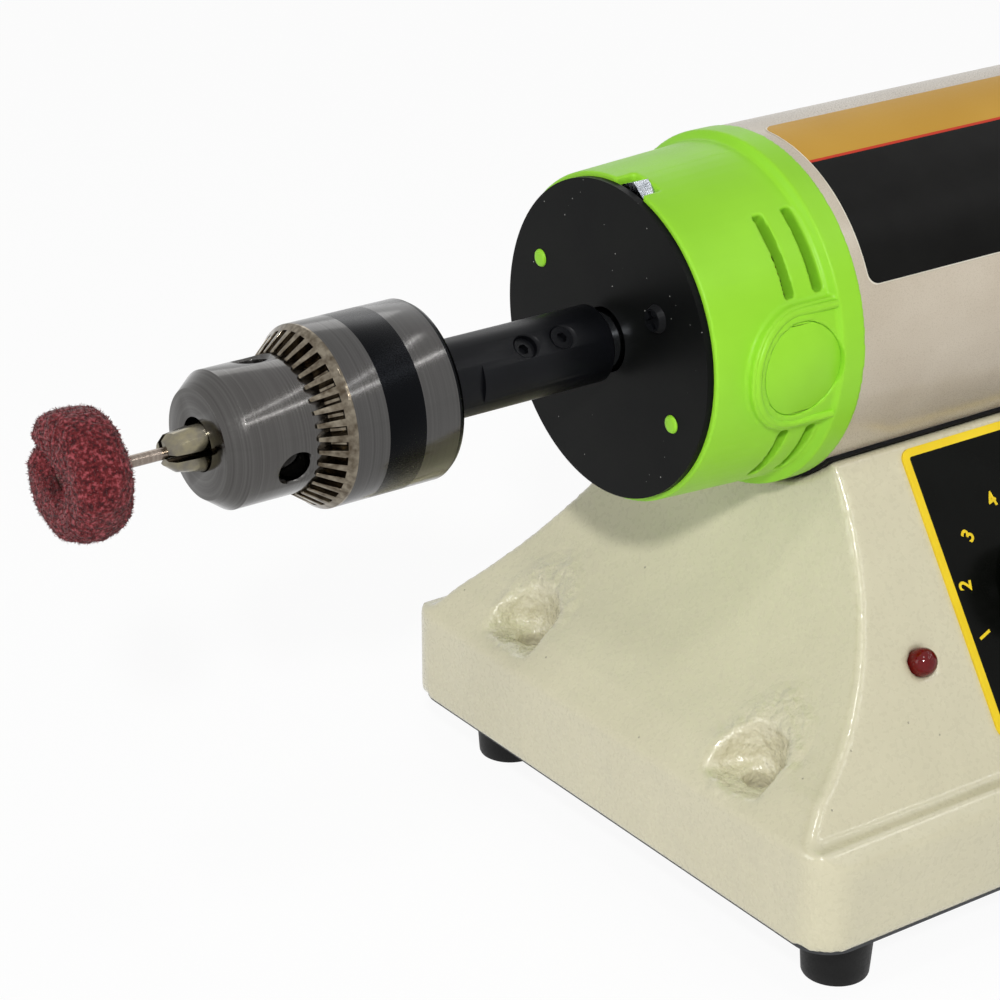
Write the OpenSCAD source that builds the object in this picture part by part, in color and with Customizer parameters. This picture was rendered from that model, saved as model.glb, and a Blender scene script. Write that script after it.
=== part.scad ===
// Jewelry polishing machine: a cast base carries a tube motor that turns a keyed chuck with a fibre wheel.
// X runs along the spindle with the chuck at -X, -Y is the operator's side, and z = 0 is the bench top.
// The origin lies under the middle of the whole machine.

/* [Base casting] */
// Length of the base along the spindle
base_len = 180; // [172:1:230]
// Depth of the base from front to rear
base_depth = 147; // [143:1:180]
// Height of the flange along its front and rear edges
flange_h = 22; // [21:0.5:26]
// Height of the spindle axis above the casting's underside
axis_h = 109; // [107:1:120]
// Radius of the flange's upright corners
corner_r = 8; // [3:0.5:12]
// Chamfer along the flange's top edges
edge_chamfer = 3.5; // [1:0.5:4]
// Thickness of the casting's walls
casting_wall = 4; // [3:0.25:5]
// Level ledge between the foot of each slope and the flange's edge
ledge_w = 6.5; // [4:0.5:10]
// Inset of the neck under the motor from each end of the base
neck_inset = 38.8; // [36:0.2:46]
// Radius of the scooped end faces
scoop_r = 63.4; // [56:0.2:72]

/* [Bench bolts] */
// Diameter of the four bench bolt holes
bolt_hole_d = 6.8; // [5:0.1:8]
// Distance of the bolt holes from each end of the base
bolt_inset = 11.5; // [10:0.5:14]
// Distance between the front and rear bolt holes
bolt_spacing_y = 79; // [60:1:84]
// Diameter of the recess round each bolt hole
pocket_d = 17; // [15:0.5:19]
// Height of the recess floor above the casting's underside
pocket_floor = 23; // [12:0.5:24]
// Distance of the recess centre outward from its bolt hole
pocket_shift = 4; // [1:0.5:5]

/* [Feet and bottom cover] */
// Height of the rubber feet
foot_h = 15; // [10:0.5:25]
// Diameter of a foot where it meets the cover
foot_top_d = 16.4; // [13:0.2:20]
// Diameter of a foot on the bench
foot_bottom_d = 14.2; // [12.5:0.2:18]
// Distance of the feet from the base's ends
foot_inset_x = 18; // [15:0.5:30]
// Distance of the feet from the base's front and rear faces
foot_inset_y = 15.5; // [14:0.5:20]
// Thickness of the sheet-metal bottom cover
cover_t = 1; // [0.8:0.1:2]
// Diameter of the screws that hold feet and cover
foot_screw_d = 4; // [3:0.5:5]

/* [Motor] */
// Length of the motor between the outer faces of its two end discs
motor_len = 180; // [174:1:220]
// Outer diameter of the motor tube
tube_d = 74; // [72:0.5:78]
// Wall of the motor tube
tube_wall = 1.8; // [1.2:0.1:2.4]
// Thickness of the rubber gasket in the saddle
gasket_t = 0.75; // [0.5:0.25:3]
// Length of each end cap outside the tube, with its disc
cap_len = 36.7; // [34:0.1:42]
// Step from the tube's surface in to the end cap behind its disc
cap_front_step = 3; // [2:0.25:3.5]
// Step from the tube's surface in to the end cap ahead of its flange
cap_rear_step = 1.5; // [1:0.25:1.75]
// Height of the flange bead over the tube that it covers
flange_bead = 0.3; // [0.1:0.1:3]
// Length of the flange bead
cap_flange_len = 5.7; // [4:0.1:7]
// Wall of the end caps
cap_wall = 2.5; // [2:0.1:3]
// Step from the tube's surface in to the rim of the end discs
disc_step = 4; // [3:0.5:6]
// Thickness of the end discs
disc_t = 1.6; // [1:0.1:2.4]
// Diameter of the motor shaft
shaft_d = 8; // [7:0.1:8.6]
// Length of the laminated cores
core_len = 54; // [44:1:56]
// Depth of the stator's iron and the air between the tube's surface and the rotor
stator_depth = 19.5; // [19:0.25:22]
// Air gap between rotor and stator
air_gap = 0.7; // [0.4:0.1:1.2]
// Diameter of the commutator
commutator_d = 22; // [18:0.5:24]
// Number of commutator bars
commutator_bars = 24; // [12:2:32]
// Gap between the cooling fan and the bolts that pass it
fan_bolt_gap = 1.5; // [1:0.25:6]
// Number of fan blades
fan_blades = 9; // [5:1:13]
// Distance from the disc's face to the middle of the brush covers
brush_x = 21.7; // [20.5:0.1:23]
// Diameter of the brush covers
brush_cover_d = 19.2; // [17:0.1:20]
// Diameter of the raised surround of each brush cover
brush_pad_d = 26; // [23:0.5:27]
// Width of the vent slots
slot_w = 2.4; // [1.6:0.1:3]

/* [Adapter rod] */
// Gap between the end disc and the rod
rod_gap = 3; // [2:0.1:8]
// Length of the adapter rod outside the chuck
rod_len = 43.3; // [38:0.1:60]
// Diameter of the adapter rod
rod_d = 16; // [14:0.1:18]
// Length of the wrench flats beside the chuck
flat_len = 11.6; // [8:0.1:13]
// Diameter of the set screws
set_screw_d = 4.9; // [3.9:0.1:5.5]

/* [Chuck] */
// Length of the chuck from its rear to its nose
chuck_len = 48; // [47:0.5:52]
// Outer diameter of the chuck's sleeve
sleeve_d = 36; // [35:0.2:42]
// Length of the sleeve behind its teeth
barrel_len = 24.5; // [23:0.1:26]
// Length of the bevel teeth along the spindle
teeth_len = 5.6; // [4.5:0.1:6]
// Number of bevel teeth
teeth = 34; // [24:1:44]
// Diameter of the chuck's nose
nose_d = 26.9; // [26.5:0.1:28]
// Diameter of the three key holes
key_hole_d = 6.4; // [5:0.1:7]
// Diameter of the round jaws
jaw_d = 5.8; // [5.2:0.1:6]
// Angle of the jaws to the spindle
jaw_tilt = 12; // [11:0.25:12.5]
// Distance that the jaws stand out of the nose at rest
jaw_reach = 7.4; // [6:0.1:10]

/* [Polishing tool] */
// Diameter of the tool's shank
shank_d = 2.35; // [2:0.05:3.2]
// Free length of shank between jaws and wheel
shank_free = 10.8; // [5:0.1:25]
// Diameter of the fibre wheel
wheel_d = 25; // [16:0.5:40]
// Width of the fibre wheel
wheel_w = 12.5; // [8:0.5:16]

/* [Controls] */
// Width of the control panel along the base
panel_w = 68; // [62:0.5:80]
// Height of the control panel along the slope
panel_h = 63; // [58:0.5:66]
// Thickness of the control panel
panel_t = 0.5; // [0.3:0.1:2]
// Corner radius of the control panel
panel_corner_r = 2.5; // [1:0.5:6]
// Diameter of the speed knob
knob_d = 23; // [20:0.5:26]
// Height of the speed knob
knob_h = 14; // [12:0.5:18]
// Distance of the knob from the middle of the base, towards the chuck
knob_offset = 9.5; // [6:0.5:12]
// Distance of knob and switch down the slope from the seam
control_drop = 38; // [34:0.5:40]
// Distance of the switch from the middle of the base, away from the chuck
switch_offset = 17; // [14.5:0.5:20]
// Length of the rocker switch along the slope
switch_len = 21; // [20:0.2:24]
// Width of the rocker switch
switch_w = 15; // [14:0.2:17]
// Tilt of the rocker from one stop to the other
rocker_throw = 20; // [12:1:24]
// Diameter of the power light
led_d = 6; // [5:0.2:7]
// Distance of the power light from the base's end
led_inset = 43.5; // [41:0.5:44]
// Distance of the cord's grommet from the base's end
grommet_inset = 40; // [38:0.5:60]

/* [Flexible shaft nose] */
// Length of the nose outside the right end disc
nose_len = 15; // [12:0.5:20]
// Diameter of the nose's threaded barrel
nose_barrel_d = 16; // [14:0.5:20]

/* [Fits] */
// Gap between parts that turn or slide on each other
run_gap = 0.05; // [0.03:0.01:0.08]
// Gap round fasteners and fixed parts
clear_gap = 0.3; // [0.2:0.05:0.4]

/* [Hidden] */
$fn = 128;
eps = 0.01;
far = 100;

seam_angle = 45;
tube_r = tube_d / 2;
cap_front_d = tube_d - 2 * cap_front_step;
cap_rear_d = tube_d - 2 * cap_rear_step;
cap_flange_d = tube_d + 2 * flange_bead;
disc_d = tube_d - 2 * disc_step;
rotor_d = tube_d - 2 * stator_depth;
tube_inner_r = tube_r - tube_wall;
saddle_r = tube_r + gasket_t;
seam_y = tube_r * cos(seam_angle);
seam_z = axis_h - tube_r * sin(seam_angle);
half_len = base_len / 2;
half_depth = base_depth / 2;
slope_foot_y = half_depth - ledge_w;
slope_deg = atan2(seam_z - flange_h, slope_foot_y - seam_y);
slope_wall_y = casting_wall / sin(slope_deg);
pocket_wall = 3;
bolt_head_room = 1;
scoop_x = half_len - neck_inset + scoop_r;
end_h = seam_z - sqrt(pow(scoop_r, 2) - pow(scoop_x - half_len, 2));

base_z = foot_h + cover_t;
axis_z = base_z + axis_h;

motor_face = motor_len / 2;
spigot_len = 5.3;
tube_len = motor_len - 2 * cap_len;
cap_bore_r = cap_front_d / 2 - cap_wall;
face_wall = 3;
cap_hole_gap = 1.8;
hub_r = 14;
boss_low_r = 18;
bolt_boss_r = 3.4;
bearing_x = 6;
bearing_w = 7;
bearing_r = 11;
bearing_bore_r = shaft_d / 2 + run_gap / 2;
outer_race_r = 9;
inner_race_r = 6;
ball_pitch_r = (outer_race_r + inner_race_r) / 2;
ball_r = 1.95;
ball_count = 7;
race_lip = 0.7;
groove_r = ball_r + run_gap;
bolt_circle_depth = 6.5;
bolt_circle_r = tube_r - bolt_circle_depth;
bolt_angle = 99;
through_bolt_d = 4;
fan_d = 2 * bolt_circle_r - through_bolt_d - 2 * fan_bolt_gap;
bolt_head_w = 7;
bolt_head_h = 3.6;
notch_x = 6;
notch_w = 8.4;
pip_circle_r = 24.7;
pip_r = 1.9;
pip_angle = 26.5;
pip_h = 0.5;
disc_screw_circle_r = 19.3;
disc_screw_angle = 150.4;
disc_screw_r = 1.5;
disc_screw_head_r = 2.9;
bolt_core_gap = 0.7;
core_flat = bolt_circle_r * sin(bolt_angle) - through_bolt_d / 2 - bolt_core_gap;
yoke_wall = 3.5;
core_rim = 3.7;
pole_half_w = 9.2;
coil_dip = 1.1;
mount_bolt_inset = 13.2;
mount_bolt_angle = 28;
mount_bolt_r = 2;
mount_nut_w = 7;
mount_nut_h = 3;
mount_bolt_x = min(half_len - neck_inset - mount_bolt_inset,
    tube_len / 2 - spigot_len - mount_nut_w / sqrt(3) - clear_gap);
winding_len = 8;
coil_gap = 0.8;
coil_low = rotor_d / 2 + air_gap - coil_dip;
coil_high = core_flat - yoke_wall;
coil_out = sqrt(pow(tube_inner_r - core_rim, 2) - pow(coil_high, 2));
coil_x = (pole_half_w + coil_out) / 2;
coil_y = (coil_low + coil_high) / 2;
coil_w = coil_out - pole_half_w - 2 * coil_gap;
coil_h = coil_high - coil_low - 2 * coil_gap;
commutator_x = 15;
commutator_len = 14;
fan_gap = 3;
fan_x = motor_face + core_len / 2 + winding_len + fan_gap;
fan_len = 9;
brush_long = 6;
brush_wide = 9;
brush_len = 15;
holder_wall = 0.9;
pad_step = 0.6;
cover_step = 0.9;
pad_floor_step = 3.4;
holder_gap = 0.4;
pad_top_r = tube_r - pad_step;
cover_top_r = tube_r - cover_step;
pad_floor_r = tube_r - pad_floor_step;
holder_top_r = pad_floor_r - holder_gap;
spring_r = 2.6;
label_x = 2.6;
label_t = 0.25;
glue_t = 0.02;
label_low = 89.4;
label_high = 159;

collar_r = 6.2;
rod_r = rod_d / 2;
rod_bore_len = 25.3;
stud_r = 4.76;
stud_len = 14;
set_screw_spots = [11.6, 20.3];
set_screw_angle = 135;
flat_half = 7;
flat_angle = set_screw_angle + 40;

face_x = -motor_face;
rod_rear_x = face_x - rod_gap;
chuck_rear_x = rod_rear_x - rod_len;
nose_x = chuck_rear_x - chuck_len;
teeth_rear_x = chuck_rear_x - barrel_len;
teeth_front_x = teeth_rear_x - teeth_len;
jaw_tip_x = nose_x - jaw_reach;
wheel_rear_x = jaw_tip_x - shank_free;
wheel_front_x = wheel_rear_x - wheel_w;
right_end_x = motor_face + nose_len;
frame_shift = (wheel_front_x + right_end_x) / 2;

body_r = nose_d / 2;
sleeve_r = sleeve_d / 2;
tail_r = 15.3;
tail_gap = 0.3;
tail_step = 0.5;
nose_face_r = 10.7;
nose_chamfer_len = 3.8;
mouth_r = 5.3;
mouth_depth = 4;
nut_len = 6.3;
nut_play = 0.2;
nut_front_x = teeth_front_x + 5.1;
jaw_r = jaw_d / 2;
jaw_mouth_r = 5.15;
jaw_axis_r = jaw_mouth_r - jaw_r / cos(jaw_tilt);
jaw_rear_gap = 18.2;
jaw_len_x = chuck_rear_x - jaw_rear_gap - jaw_tip_x;
jaw_gap = 1.4;
jaw_bevel = 0.8;
jaw_bevel_r = 2.4;
jaw_gap_angle = 186;
jaw_bore_gap = 0.1;
key_hole_angle = 197;
key_hole_x = nose_x + 13.7;
key_hole_floor_r = 8.5;
key_chamfer = 0.9;
shank_r = shank_d / 2;
grip_gap = 0.02;
shank_grip = 15;
pilot_r = 2.6;
pilot_len = 22;
tooth_depth = 1.7;
tooth_rim = 1;
rear_rim = 1;
rear_rim_inset = 0.6;
hub_screw_r = 1.9;
hub_screw_len = 1.8;
wheel_recess_r = 2.6;
wheel_recess = 4.2;
wheel_round_r = wheel_d * 0.53;

knob_gap = 0.6;
knob_bore_r = 3.02;
pot_shaft_r = 3;
pot_bush_r = 3.5;
pot_body_r = 8.5;
pot_body_len = 9;
pot_lugs = [12, 8, 1.4];
pot_floor = 2;
pot_nut_w = 10;
pot_nut_h = 2;
pot_nut_space_r = 7;
pot_nut_space_h = 4;
knob_top_t = 3;
knob_flutes = 24;
knob_flute_r = 0.9;
knob_top_drop = 1.6;
bezel_h = 1.6;
bezel_wall = 1.8;
switch_body_len = 15;
switch_rim = 1;
switch_body_w = switch_w - 2 * switch_rim;
switch_body_d = switch_len - 2 * switch_rim;
rocker_well_w = switch_body_w - 2 * bezel_wall;
rocker_well_d = switch_body_d - 2 * bezel_wall + 1.2;
rocker_pivot_r = 1.2;
rocker_pivot_h = -1.6;
rocker_depth = 8;
pivot_seat = 1;
led_x = -half_len + led_inset;
led_drop = 45.7;
led_proud = 0.4;
grommet_x = half_len - grommet_inset;
grommet_drop = 55;
cord_bore_r = 3.75;
grommet_neck_r = 6;
grommet_flange_r = 8.5;
grommet_flange_t = 2;
grommet_proud = 5;
foot_x = half_len - foot_inset_x;
foot_y = half_depth - foot_inset_y;
foot_boss_r = 5.5;
foot_hole_depth = 12;
foot_seat_h = 4;
foot_well_r = 4.6;
foot_screw_grip = 9;
cover_margin = 1;
board_len = 76;
board_w = 50;
board_t = 1.6;
board_z = 8;
board_screw_inset = 4;
standoff_r = 3;
board_hole_r = 1.6;
heat_sink_at = [-30, -8, 0];
capacitor_at = [2, 2, 0];
capacitor_size = [18, 9, 15];
choke_at = [14, -12, 0];

// Children keep the base's own coordinates, with x = 0 at the middle of the base
module placed() {
    translate([-frame_shift, 0, 0]) children();
}

// Children's z runs along the spindle from x, their x points to the rear and their y points up
module on_spindle(x) {
    placed() translate([x, 0, axis_z]) rotate(120, [1, 1, 1]) children();
}

// Children's z stands out of the front slope, x along the base, at a drop down the slope from the seam
module on_slope(x, drop, h = 0) {
    placed() translate([x, -seam_y, base_z + seam_z]) rotate([slope_deg, 0, 0])
        translate([0, -drop, h]) children();
}

module on_rear_slope(x, drop, h = 0) {
    mirror([0, 1, 0]) on_slope(x, drop, h) children();
}

module both_ends() {
    children();
    translate([-2 * frame_shift, 0, 0]) mirror([1, 0, 0]) children();
}

module tube_ring(h, r_out, r_in) {
    difference() {
        cylinder(h = h, r = r_out);
        translate([0, 0, -eps]) cylinder(h = h + 2 * eps, r = r_in);
    }
}

module hexagon(h, w) {
    cylinder(h = h, d = w / cos(30), $fn = 6);
}

module rounded_plate(w, d, h, r) {
    linear_extrude(h) {
        square([w - 2 * r, d], center = true);
        square([w, d - 2 * r], center = true);
        for (x = [-1, 1], y = [-1, 1]) translate([x * (w / 2 - r), y * (d / 2 - r)]) circle(r);
    }
}

// Base casting

module casting_section() {
    polygon([[-half_depth, 0], [half_depth, 0], [half_depth, flange_h - edge_chamfer],
        [half_depth - edge_chamfer, flange_h], [slope_foot_y, flange_h], [seam_y, seam_z],
        [-seam_y, seam_z], [-slope_foot_y, flange_h], [-half_depth + edge_chamfer, flange_h],
        [-half_depth, flange_h - edge_chamfer]]);
}

function slope_inner_y(z) = seam_y - slope_wall_y + (seam_z - z) / tan(slope_deg);

module cavity_section() {
    roof = flange_h - casting_wall;
    side = half_depth - casting_wall;
    low = slope_inner_y(roof);
    high = slope_inner_y(seam_z);
    polygon([[-side, -1], [side, -1], [side, roof], [low, roof], [high, seam_z], [-high, seam_z],
        [-low, roof], [-side, roof]]);
}

module along_base(len) {
    translate([-len / 2, 0, 0]) rotate(120, [1, 1, 1]) linear_extrude(len) children();
}

module scoops(r) {
    for (s = [-1, 1])
        translate([s * scoop_x, 0, seam_z]) rotate([90, 0, 0]) cylinder(h = 2 * far, r = r, center = true);
}

module end_chamfers() {
    run = 8;
    top = axis_h;
    right = [[half_len, -1], [half_len, end_h - edge_chamfer], [half_len - edge_chamfer, end_h],
        [half_len - edge_chamfer - run, end_h + run], [half_len - edge_chamfer - run, top]];
    left = [for (i = [len(right) - 1:-1:0]) [-right[i][0], right[i][1]]];
    rotate([90, 0, 0]) translate([0, 0, -far]) linear_extrude(2 * far) polygon(concat(right, left));
}

module at_bolt_holes() {
    for (x = [-1, 1], y = [-1, 1])
        translate([x * (half_len - bolt_inset), y * bolt_spacing_y / 2, 0]) children();
}

module at_pockets() {
    for (x = [-1, 1], y = [-1, 1])
        translate([x * (half_len - bolt_inset + pocket_shift), y * bolt_spacing_y / 2, 0]) children();
}

module at_feet() {
    for (x = [-1, 1], y = [-1, 1]) translate([x * foot_x, y * foot_y, 0]) children();
}

module casting_cavity() {
    difference() {
        along_base(base_len - 2 * casting_wall) cavity_section();
        scoops(scoop_r + casting_wall);
        translate([0, 0, axis_h]) rotate([0, 90, 0])
            cylinder(h = 2 * far, r = saddle_r + casting_wall, center = true);
        at_pockets() translate([0, 0, -1]) cylinder(h = far, d = pocket_d + 2 * pocket_wall);
        at_bolt_holes() translate([0, 0, -1]) cylinder(h = far, d = pocket_d);
        at_feet() translate([0, 0, -1]) cylinder(h = far, r = foot_boss_r);
    }
}

module at_mount_bolts() {
    for (s = [-1, 1], a = [-90 - mount_bolt_angle, -90 + mount_bolt_angle])
        on_spindle(s * mount_bolt_x) rotate([0, 0, a]) rotate([0, 90, 0]) children();
}

module casting_openings() {
    on_slope(-knob_offset, control_drop, -2 * casting_wall)
        cylinder(h = 4 * casting_wall, r = pot_bush_r + clear_gap);
    on_slope(switch_offset, control_drop)
        cube([switch_body_w + 2 * clear_gap, switch_body_d + 2 * clear_gap, 4 * casting_wall],
            center = true);
    on_slope(led_x, led_drop, -2 * casting_wall) cylinder(h = 4 * casting_wall, d = led_d + 2 * run_gap);
    on_rear_slope(grommet_x, grommet_drop, -2 * casting_wall)
        cylinder(h = 4 * casting_wall, r = grommet_neck_r + run_gap);
    at_mount_bolts() translate([0, 0, saddle_r - casting_wall])
        cylinder(h = 3 * casting_wall, r = mount_bolt_r + clear_gap);
}

module base_casting() {
    color("#cfc9ad") difference() {
        placed() translate([0, 0, base_z]) difference() {
            intersection() {
                along_base(base_len) casting_section();
                rounded_plate(base_len, base_depth, far, corner_r);
                end_chamfers();
            }
            scoops(scoop_r);
            translate([0, 0, axis_h]) rotate([0, 90, 0]) cylinder(h = 2 * far, r = saddle_r, center = true);
            at_pockets() translate([0, 0, pocket_floor]) cylinder(h = far, d = pocket_d);
            at_bolt_holes() translate([0, 0, pocket_floor])
                cylinder(h = far, d = bolt_hole_d + 2 * bolt_head_room);
            at_bolt_holes() translate([0, 0, -1]) cylinder(h = far, d = bolt_hole_d);
            at_feet() translate([0, 0, -1]) cylinder(h = foot_hole_depth + 1, d = foot_screw_d);
            casting_cavity();
        }
        casting_openings();
    }
}

module saddle_gasket() {
    overhang = 1;
    len = base_len - 2 * neck_inset + 2 * overhang;
    color("#1a1a1a") difference() {
        on_spindle(-len / 2) rotate([0, 0, -180 + seam_angle])
            rotate_extrude(angle = 180 - 2 * seam_angle) translate([tube_r, 0]) square([gasket_t, len]);
        at_mount_bolts() translate([0, 0, tube_r - 1])
            cylinder(h = gasket_t + 2, r = mount_bolt_r + clear_gap);
    }
}

module bottom_cover() {
    color("#26282b") placed() translate([0, 0, foot_h]) difference() {
        rounded_plate(base_len - 2 * cover_margin, base_depth - 2 * cover_margin, cover_t, corner_r);
        at_bolt_holes() translate([0, 0, -1]) cylinder(h = cover_t + 2, d = bolt_hole_d + 2 * clear_gap);
        at_feet() translate([0, 0, -1]) cylinder(h = cover_t + 2, d = foot_screw_d + 2 * clear_gap);
        at_board_corners() translate([0, 0, -1]) cylinder(h = cover_t + 2, r = board_hole_r);
    }
}

module rubber_feet() {
    color("#161616") placed() at_feet() difference() {
        cylinder(h = foot_h, d1 = foot_bottom_d, d2 = foot_top_d);
        translate([0, 0, -1]) cylinder(h = foot_h - foot_seat_h + 1, r = foot_well_r);
        translate([0, 0, -1]) cylinder(h = foot_h + 2, d = foot_screw_d + 2 * clear_gap);
    }
}

module foot_screws() {
    head_h = 2.4;
    under = foot_h - foot_seat_h;
    color("#b9bcc0") placed() at_feet() translate([0, 0, under]) {
        cylinder(h = foot_seat_h + cover_t + foot_screw_grip, d = foot_screw_d - 2 * run_gap);
        translate([0, 0, -head_h]) difference() {
            cylinder(h = head_h, r = foot_screw_d * 0.95);
            translate([0, 0, -eps]) screw_cross(foot_screw_d * 1.1, 1.2);
        }
    }
}

module screw_cross(w, depth) {
    slot = 1;
    for (a = [0, 90]) rotate([0, 0, a]) translate([-w / 2, -slot / 2, 0]) cube([w, slot, depth]);
}

// Motor housing

module motor_tube() {
    color("#cbc0ae") difference() {
        on_spindle(-tube_len / 2) tube_ring(tube_len, tube_r, tube_inner_r);
        at_mount_bolts() translate([0, 0, tube_r - 2 * tube_wall])
            cylinder(h = 4 * tube_wall, r = mount_bolt_r + clear_gap);
    }
}

module rating_label() {
    len = tube_len - 2 * label_x;
    color("#1a1a1a") on_spindle(-len / 2) rotate([0, 0, label_low])
        rotate_extrude(angle = label_high - label_low)
            translate([tube_r + glue_t, 0]) square([label_t, len]);
}

module vent_slot(x, from, to) {
    cut_from_r = 25;
    translate([0, 0, x - slot_w / 2]) rotate([0, 0, from]) rotate_extrude(angle = to - from)
        translate([cut_from_r, 0]) square([cap_flange_d - cut_from_r, slot_w]);
}

module vent_slots(brush_side) {
    upper = [126.7, 156.5];
    lower = brush_side ? [204, 230.5] : [203.5, 233.3];
    slot_pitch = 7;
    first = brush_x - 0.7;
    for (m = [0, 1]) mirror([m, 0, 0]) for (x = [first, first + slot_pitch]) {
        vent_slot(x, upper[0], upper[1]);
        vent_slot(x, lower[0], lower[1]);
    }
}

module brush_sides() {
    for (a = [0, 180]) translate([0, 0, brush_x]) rotate([0, 0, a]) rotate([0, 90, 0]) children();
}

// One end cap, with z = 0 at the disc's outer face and z growing into the motor
module end_cap(brush_side) {
    difference() {
        union() {
            difference() {
                cap_shell(brush_side);
                translate([0, 0, disc_t + face_wall]) cylinder(h = far, r = cap_bore_r);
                vent_slots(brush_side);
            }
            translate([0, 0, disc_t + 1]) cylinder(h = bearing_x + bearing_w - disc_t, r = hub_r);
            for (a = [0, 180]) rotate([0, 0, bolt_angle + a]) translate([bolt_circle_r, 0, disc_t + 1])
                cylinder(h = cap_len + spigot_len - disc_t - 1.5, r = bolt_boss_r);
            if (brush_side) intersection() {
                brush_sides() cylinder(h = pad_floor_r - 1, d = brush_cover_d);
                translate([0, 0, disc_t + 1]) tube_ring(cap_len, pad_floor_r - 0.5, boss_low_r);
            }
            for (a = [0, 180]) rotate([0, 0, pip_angle + a]) translate([pip_circle_r, 0, -pip_h])
                cylinder(h = disc_t + pip_h + 1, r = pip_r);
        }
        translate([0, 0, bearing_x]) cylinder(h = far, r = bearing_r);
        translate([0, 0, -1]) cylinder(h = far, r = collar_r + cap_hole_gap);
        for (a = [0, 180]) rotate([0, 0, bolt_angle + a]) {
            translate([bolt_circle_r, 0, 0]) cylinder(h = far, d = through_bolt_d + 2 * clear_gap);
            translate([bolt_circle_r - bolt_head_w / 2 - clear_gap, -notch_w / 2, disc_t - 1])
                cube([far, notch_w, notch_x - disc_t + 1]);
        }
        at_disc_screws() translate([0, 0, -1])
            cylinder(h = face_wall + disc_t + 2, r = disc_screw_r + run_gap);
        if (brush_side) brush_sides() {
            translate([0, 0, boss_low_r - 4]) brush_tube(holder_wall + run_gap, 0, far);
            translate([0, 0, pad_floor_r]) cylinder(h = far, r = brush_cover_d / 2 + run_gap);
        }
    }
}

module cap_shell(brush_side) {
    flange_x = cap_len - cap_flange_len;
    lead = 1.2;
    translate([0, 0, disc_t]) cylinder(h = flange_x - disc_t + 1, d1 = cap_front_d, d2 = cap_rear_d);
    translate([0, 0, flange_x - lead]) cylinder(h = lead, d1 = cap_rear_d - 1, d2 = cap_flange_d);
    translate([0, 0, flange_x]) cylinder(h = cap_flange_len, d = cap_flange_d);
    translate([0, 0, cap_len - 1]) cylinder(h = spigot_len + 1, r = tube_inner_r - run_gap);
    if (brush_side) intersection() {
        translate([0, 0, disc_t + 1]) cylinder(h = flange_x - disc_t, r = pad_top_r);
        brush_sides() brush_pad();
    }
}

// The pad runs back from the round cover to the flange
module brush_pad() {
    cylinder(h = far, d = brush_pad_d);
    translate([0, -brush_pad_d / 2, 0]) mirror([1, 0, 0]) cube([far, brush_pad_d, far]);
}

module left_end_cap() {
    color("#98e23c") on_spindle(face_x) end_cap(true);
}

module right_end_cap() {
    color("#98e23c") mirrored_end() end_cap(false);
}

// Children's z runs into the motor from the right end disc's outer face
module mirrored_end() {
    translate([-2 * frame_shift, 0, 0]) mirror([1, 0, 0]) on_spindle(face_x) children();
}

module end_disc(hole_r) {
    difference() {
        cylinder(h = disc_t, d = disc_d);
        translate([0, 0, -1]) cylinder(h = disc_t + 2, r = hole_r);
        for (a = [0, 180]) rotate([0, 0, pip_angle + a]) translate([pip_circle_r, 0, -1])
            cylinder(h = disc_t + 2, r = pip_r + run_gap);
        at_disc_screws() translate([0, 0, -1]) cylinder(h = disc_t + 2, r = disc_screw_r + run_gap);
    }
}

module left_end_disc() {
    color("#17181a") on_spindle(face_x) end_disc(collar_r + 2 * clear_gap);
}

module right_end_disc() {
    color("#17181a") mirrored_end() end_disc(collar_r + 2 * clear_gap);
}

module at_disc_screws() {
    for (a = [0, 180])
        rotate([0, 0, disc_screw_angle + a]) translate([disc_screw_circle_r, 0, 0]) children();
}

module disc_screw() {
    head_h = 1.3;
    translate([0, 0, -head_h]) difference() {
        cylinder(h = head_h, r1 = disc_screw_head_r * 0.8, r2 = disc_screw_head_r);
        translate([0, 0, -eps]) screw_cross(disc_screw_head_r * 1.3, 0.9);
    }
    cylinder(h = disc_t + face_wall, r = disc_screw_r);
}

module end_disc_screws() {
    color("#222326") {
        on_spindle(face_x) at_disc_screws() disc_screw();
        mirrored_end() at_disc_screws() disc_screw();
    }
}

module through_bolts() {
    len = motor_len - 2 * notch_x;
    nut_h = 3.2;
    color("#c3c6c9") for (a = [0, 180])
        on_spindle(face_x + notch_x) rotate([0, 0, bolt_angle + a]) translate([bolt_circle_r, 0, 0]) {
            translate([0, 0, -bolt_head_h]) hexagon(bolt_head_h, bolt_head_w);
            cylinder(h = len, d = through_bolt_d);
            translate([0, 0, len]) hexagon(nut_h, bolt_head_w);
        }
}

module motor_mount_bolts() {
    head_h = 3;
    len = saddle_r + casting_wall - tube_inner_r + mount_nut_h;
    color("#c3c6c9") at_mount_bolts() translate([0, 0, tube_inner_r - mount_nut_h]) {
        cylinder(h = len, r = mount_bolt_r - run_gap);
        translate([0, 0, len]) hexagon(head_h, mount_nut_w);
    }
}

module motor_mount_nuts() {
    under = tube_inner_r - mount_nut_h - clear_gap;
    color("#c3c6c9") at_mount_bolts() translate([0, 0, under]) difference() {
        hexagon(mount_nut_h, mount_nut_w);
        translate([0, 0, -1]) cylinder(h = mount_nut_h + 2, r = mount_bolt_r);
    }
}

// Motor insides

module at_coil_sides() {
    for (x = [-1, 1], y = [-1, 1]) translate([x * coil_x, y * coil_y]) children();
}

module stator_core() {
    color("#70757c") on_spindle(-core_len / 2) linear_extrude(core_len) difference() {
        intersection() {
            circle(tube_inner_r - run_gap);
            square([2 * far, 2 * core_flat], center = true);
        }
        circle(rotor_d / 2 + air_gap);
        at_coil_sides() square([coil_w + 2 * coil_gap, coil_h + 2 * coil_gap], center = true);
    }
}

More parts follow.
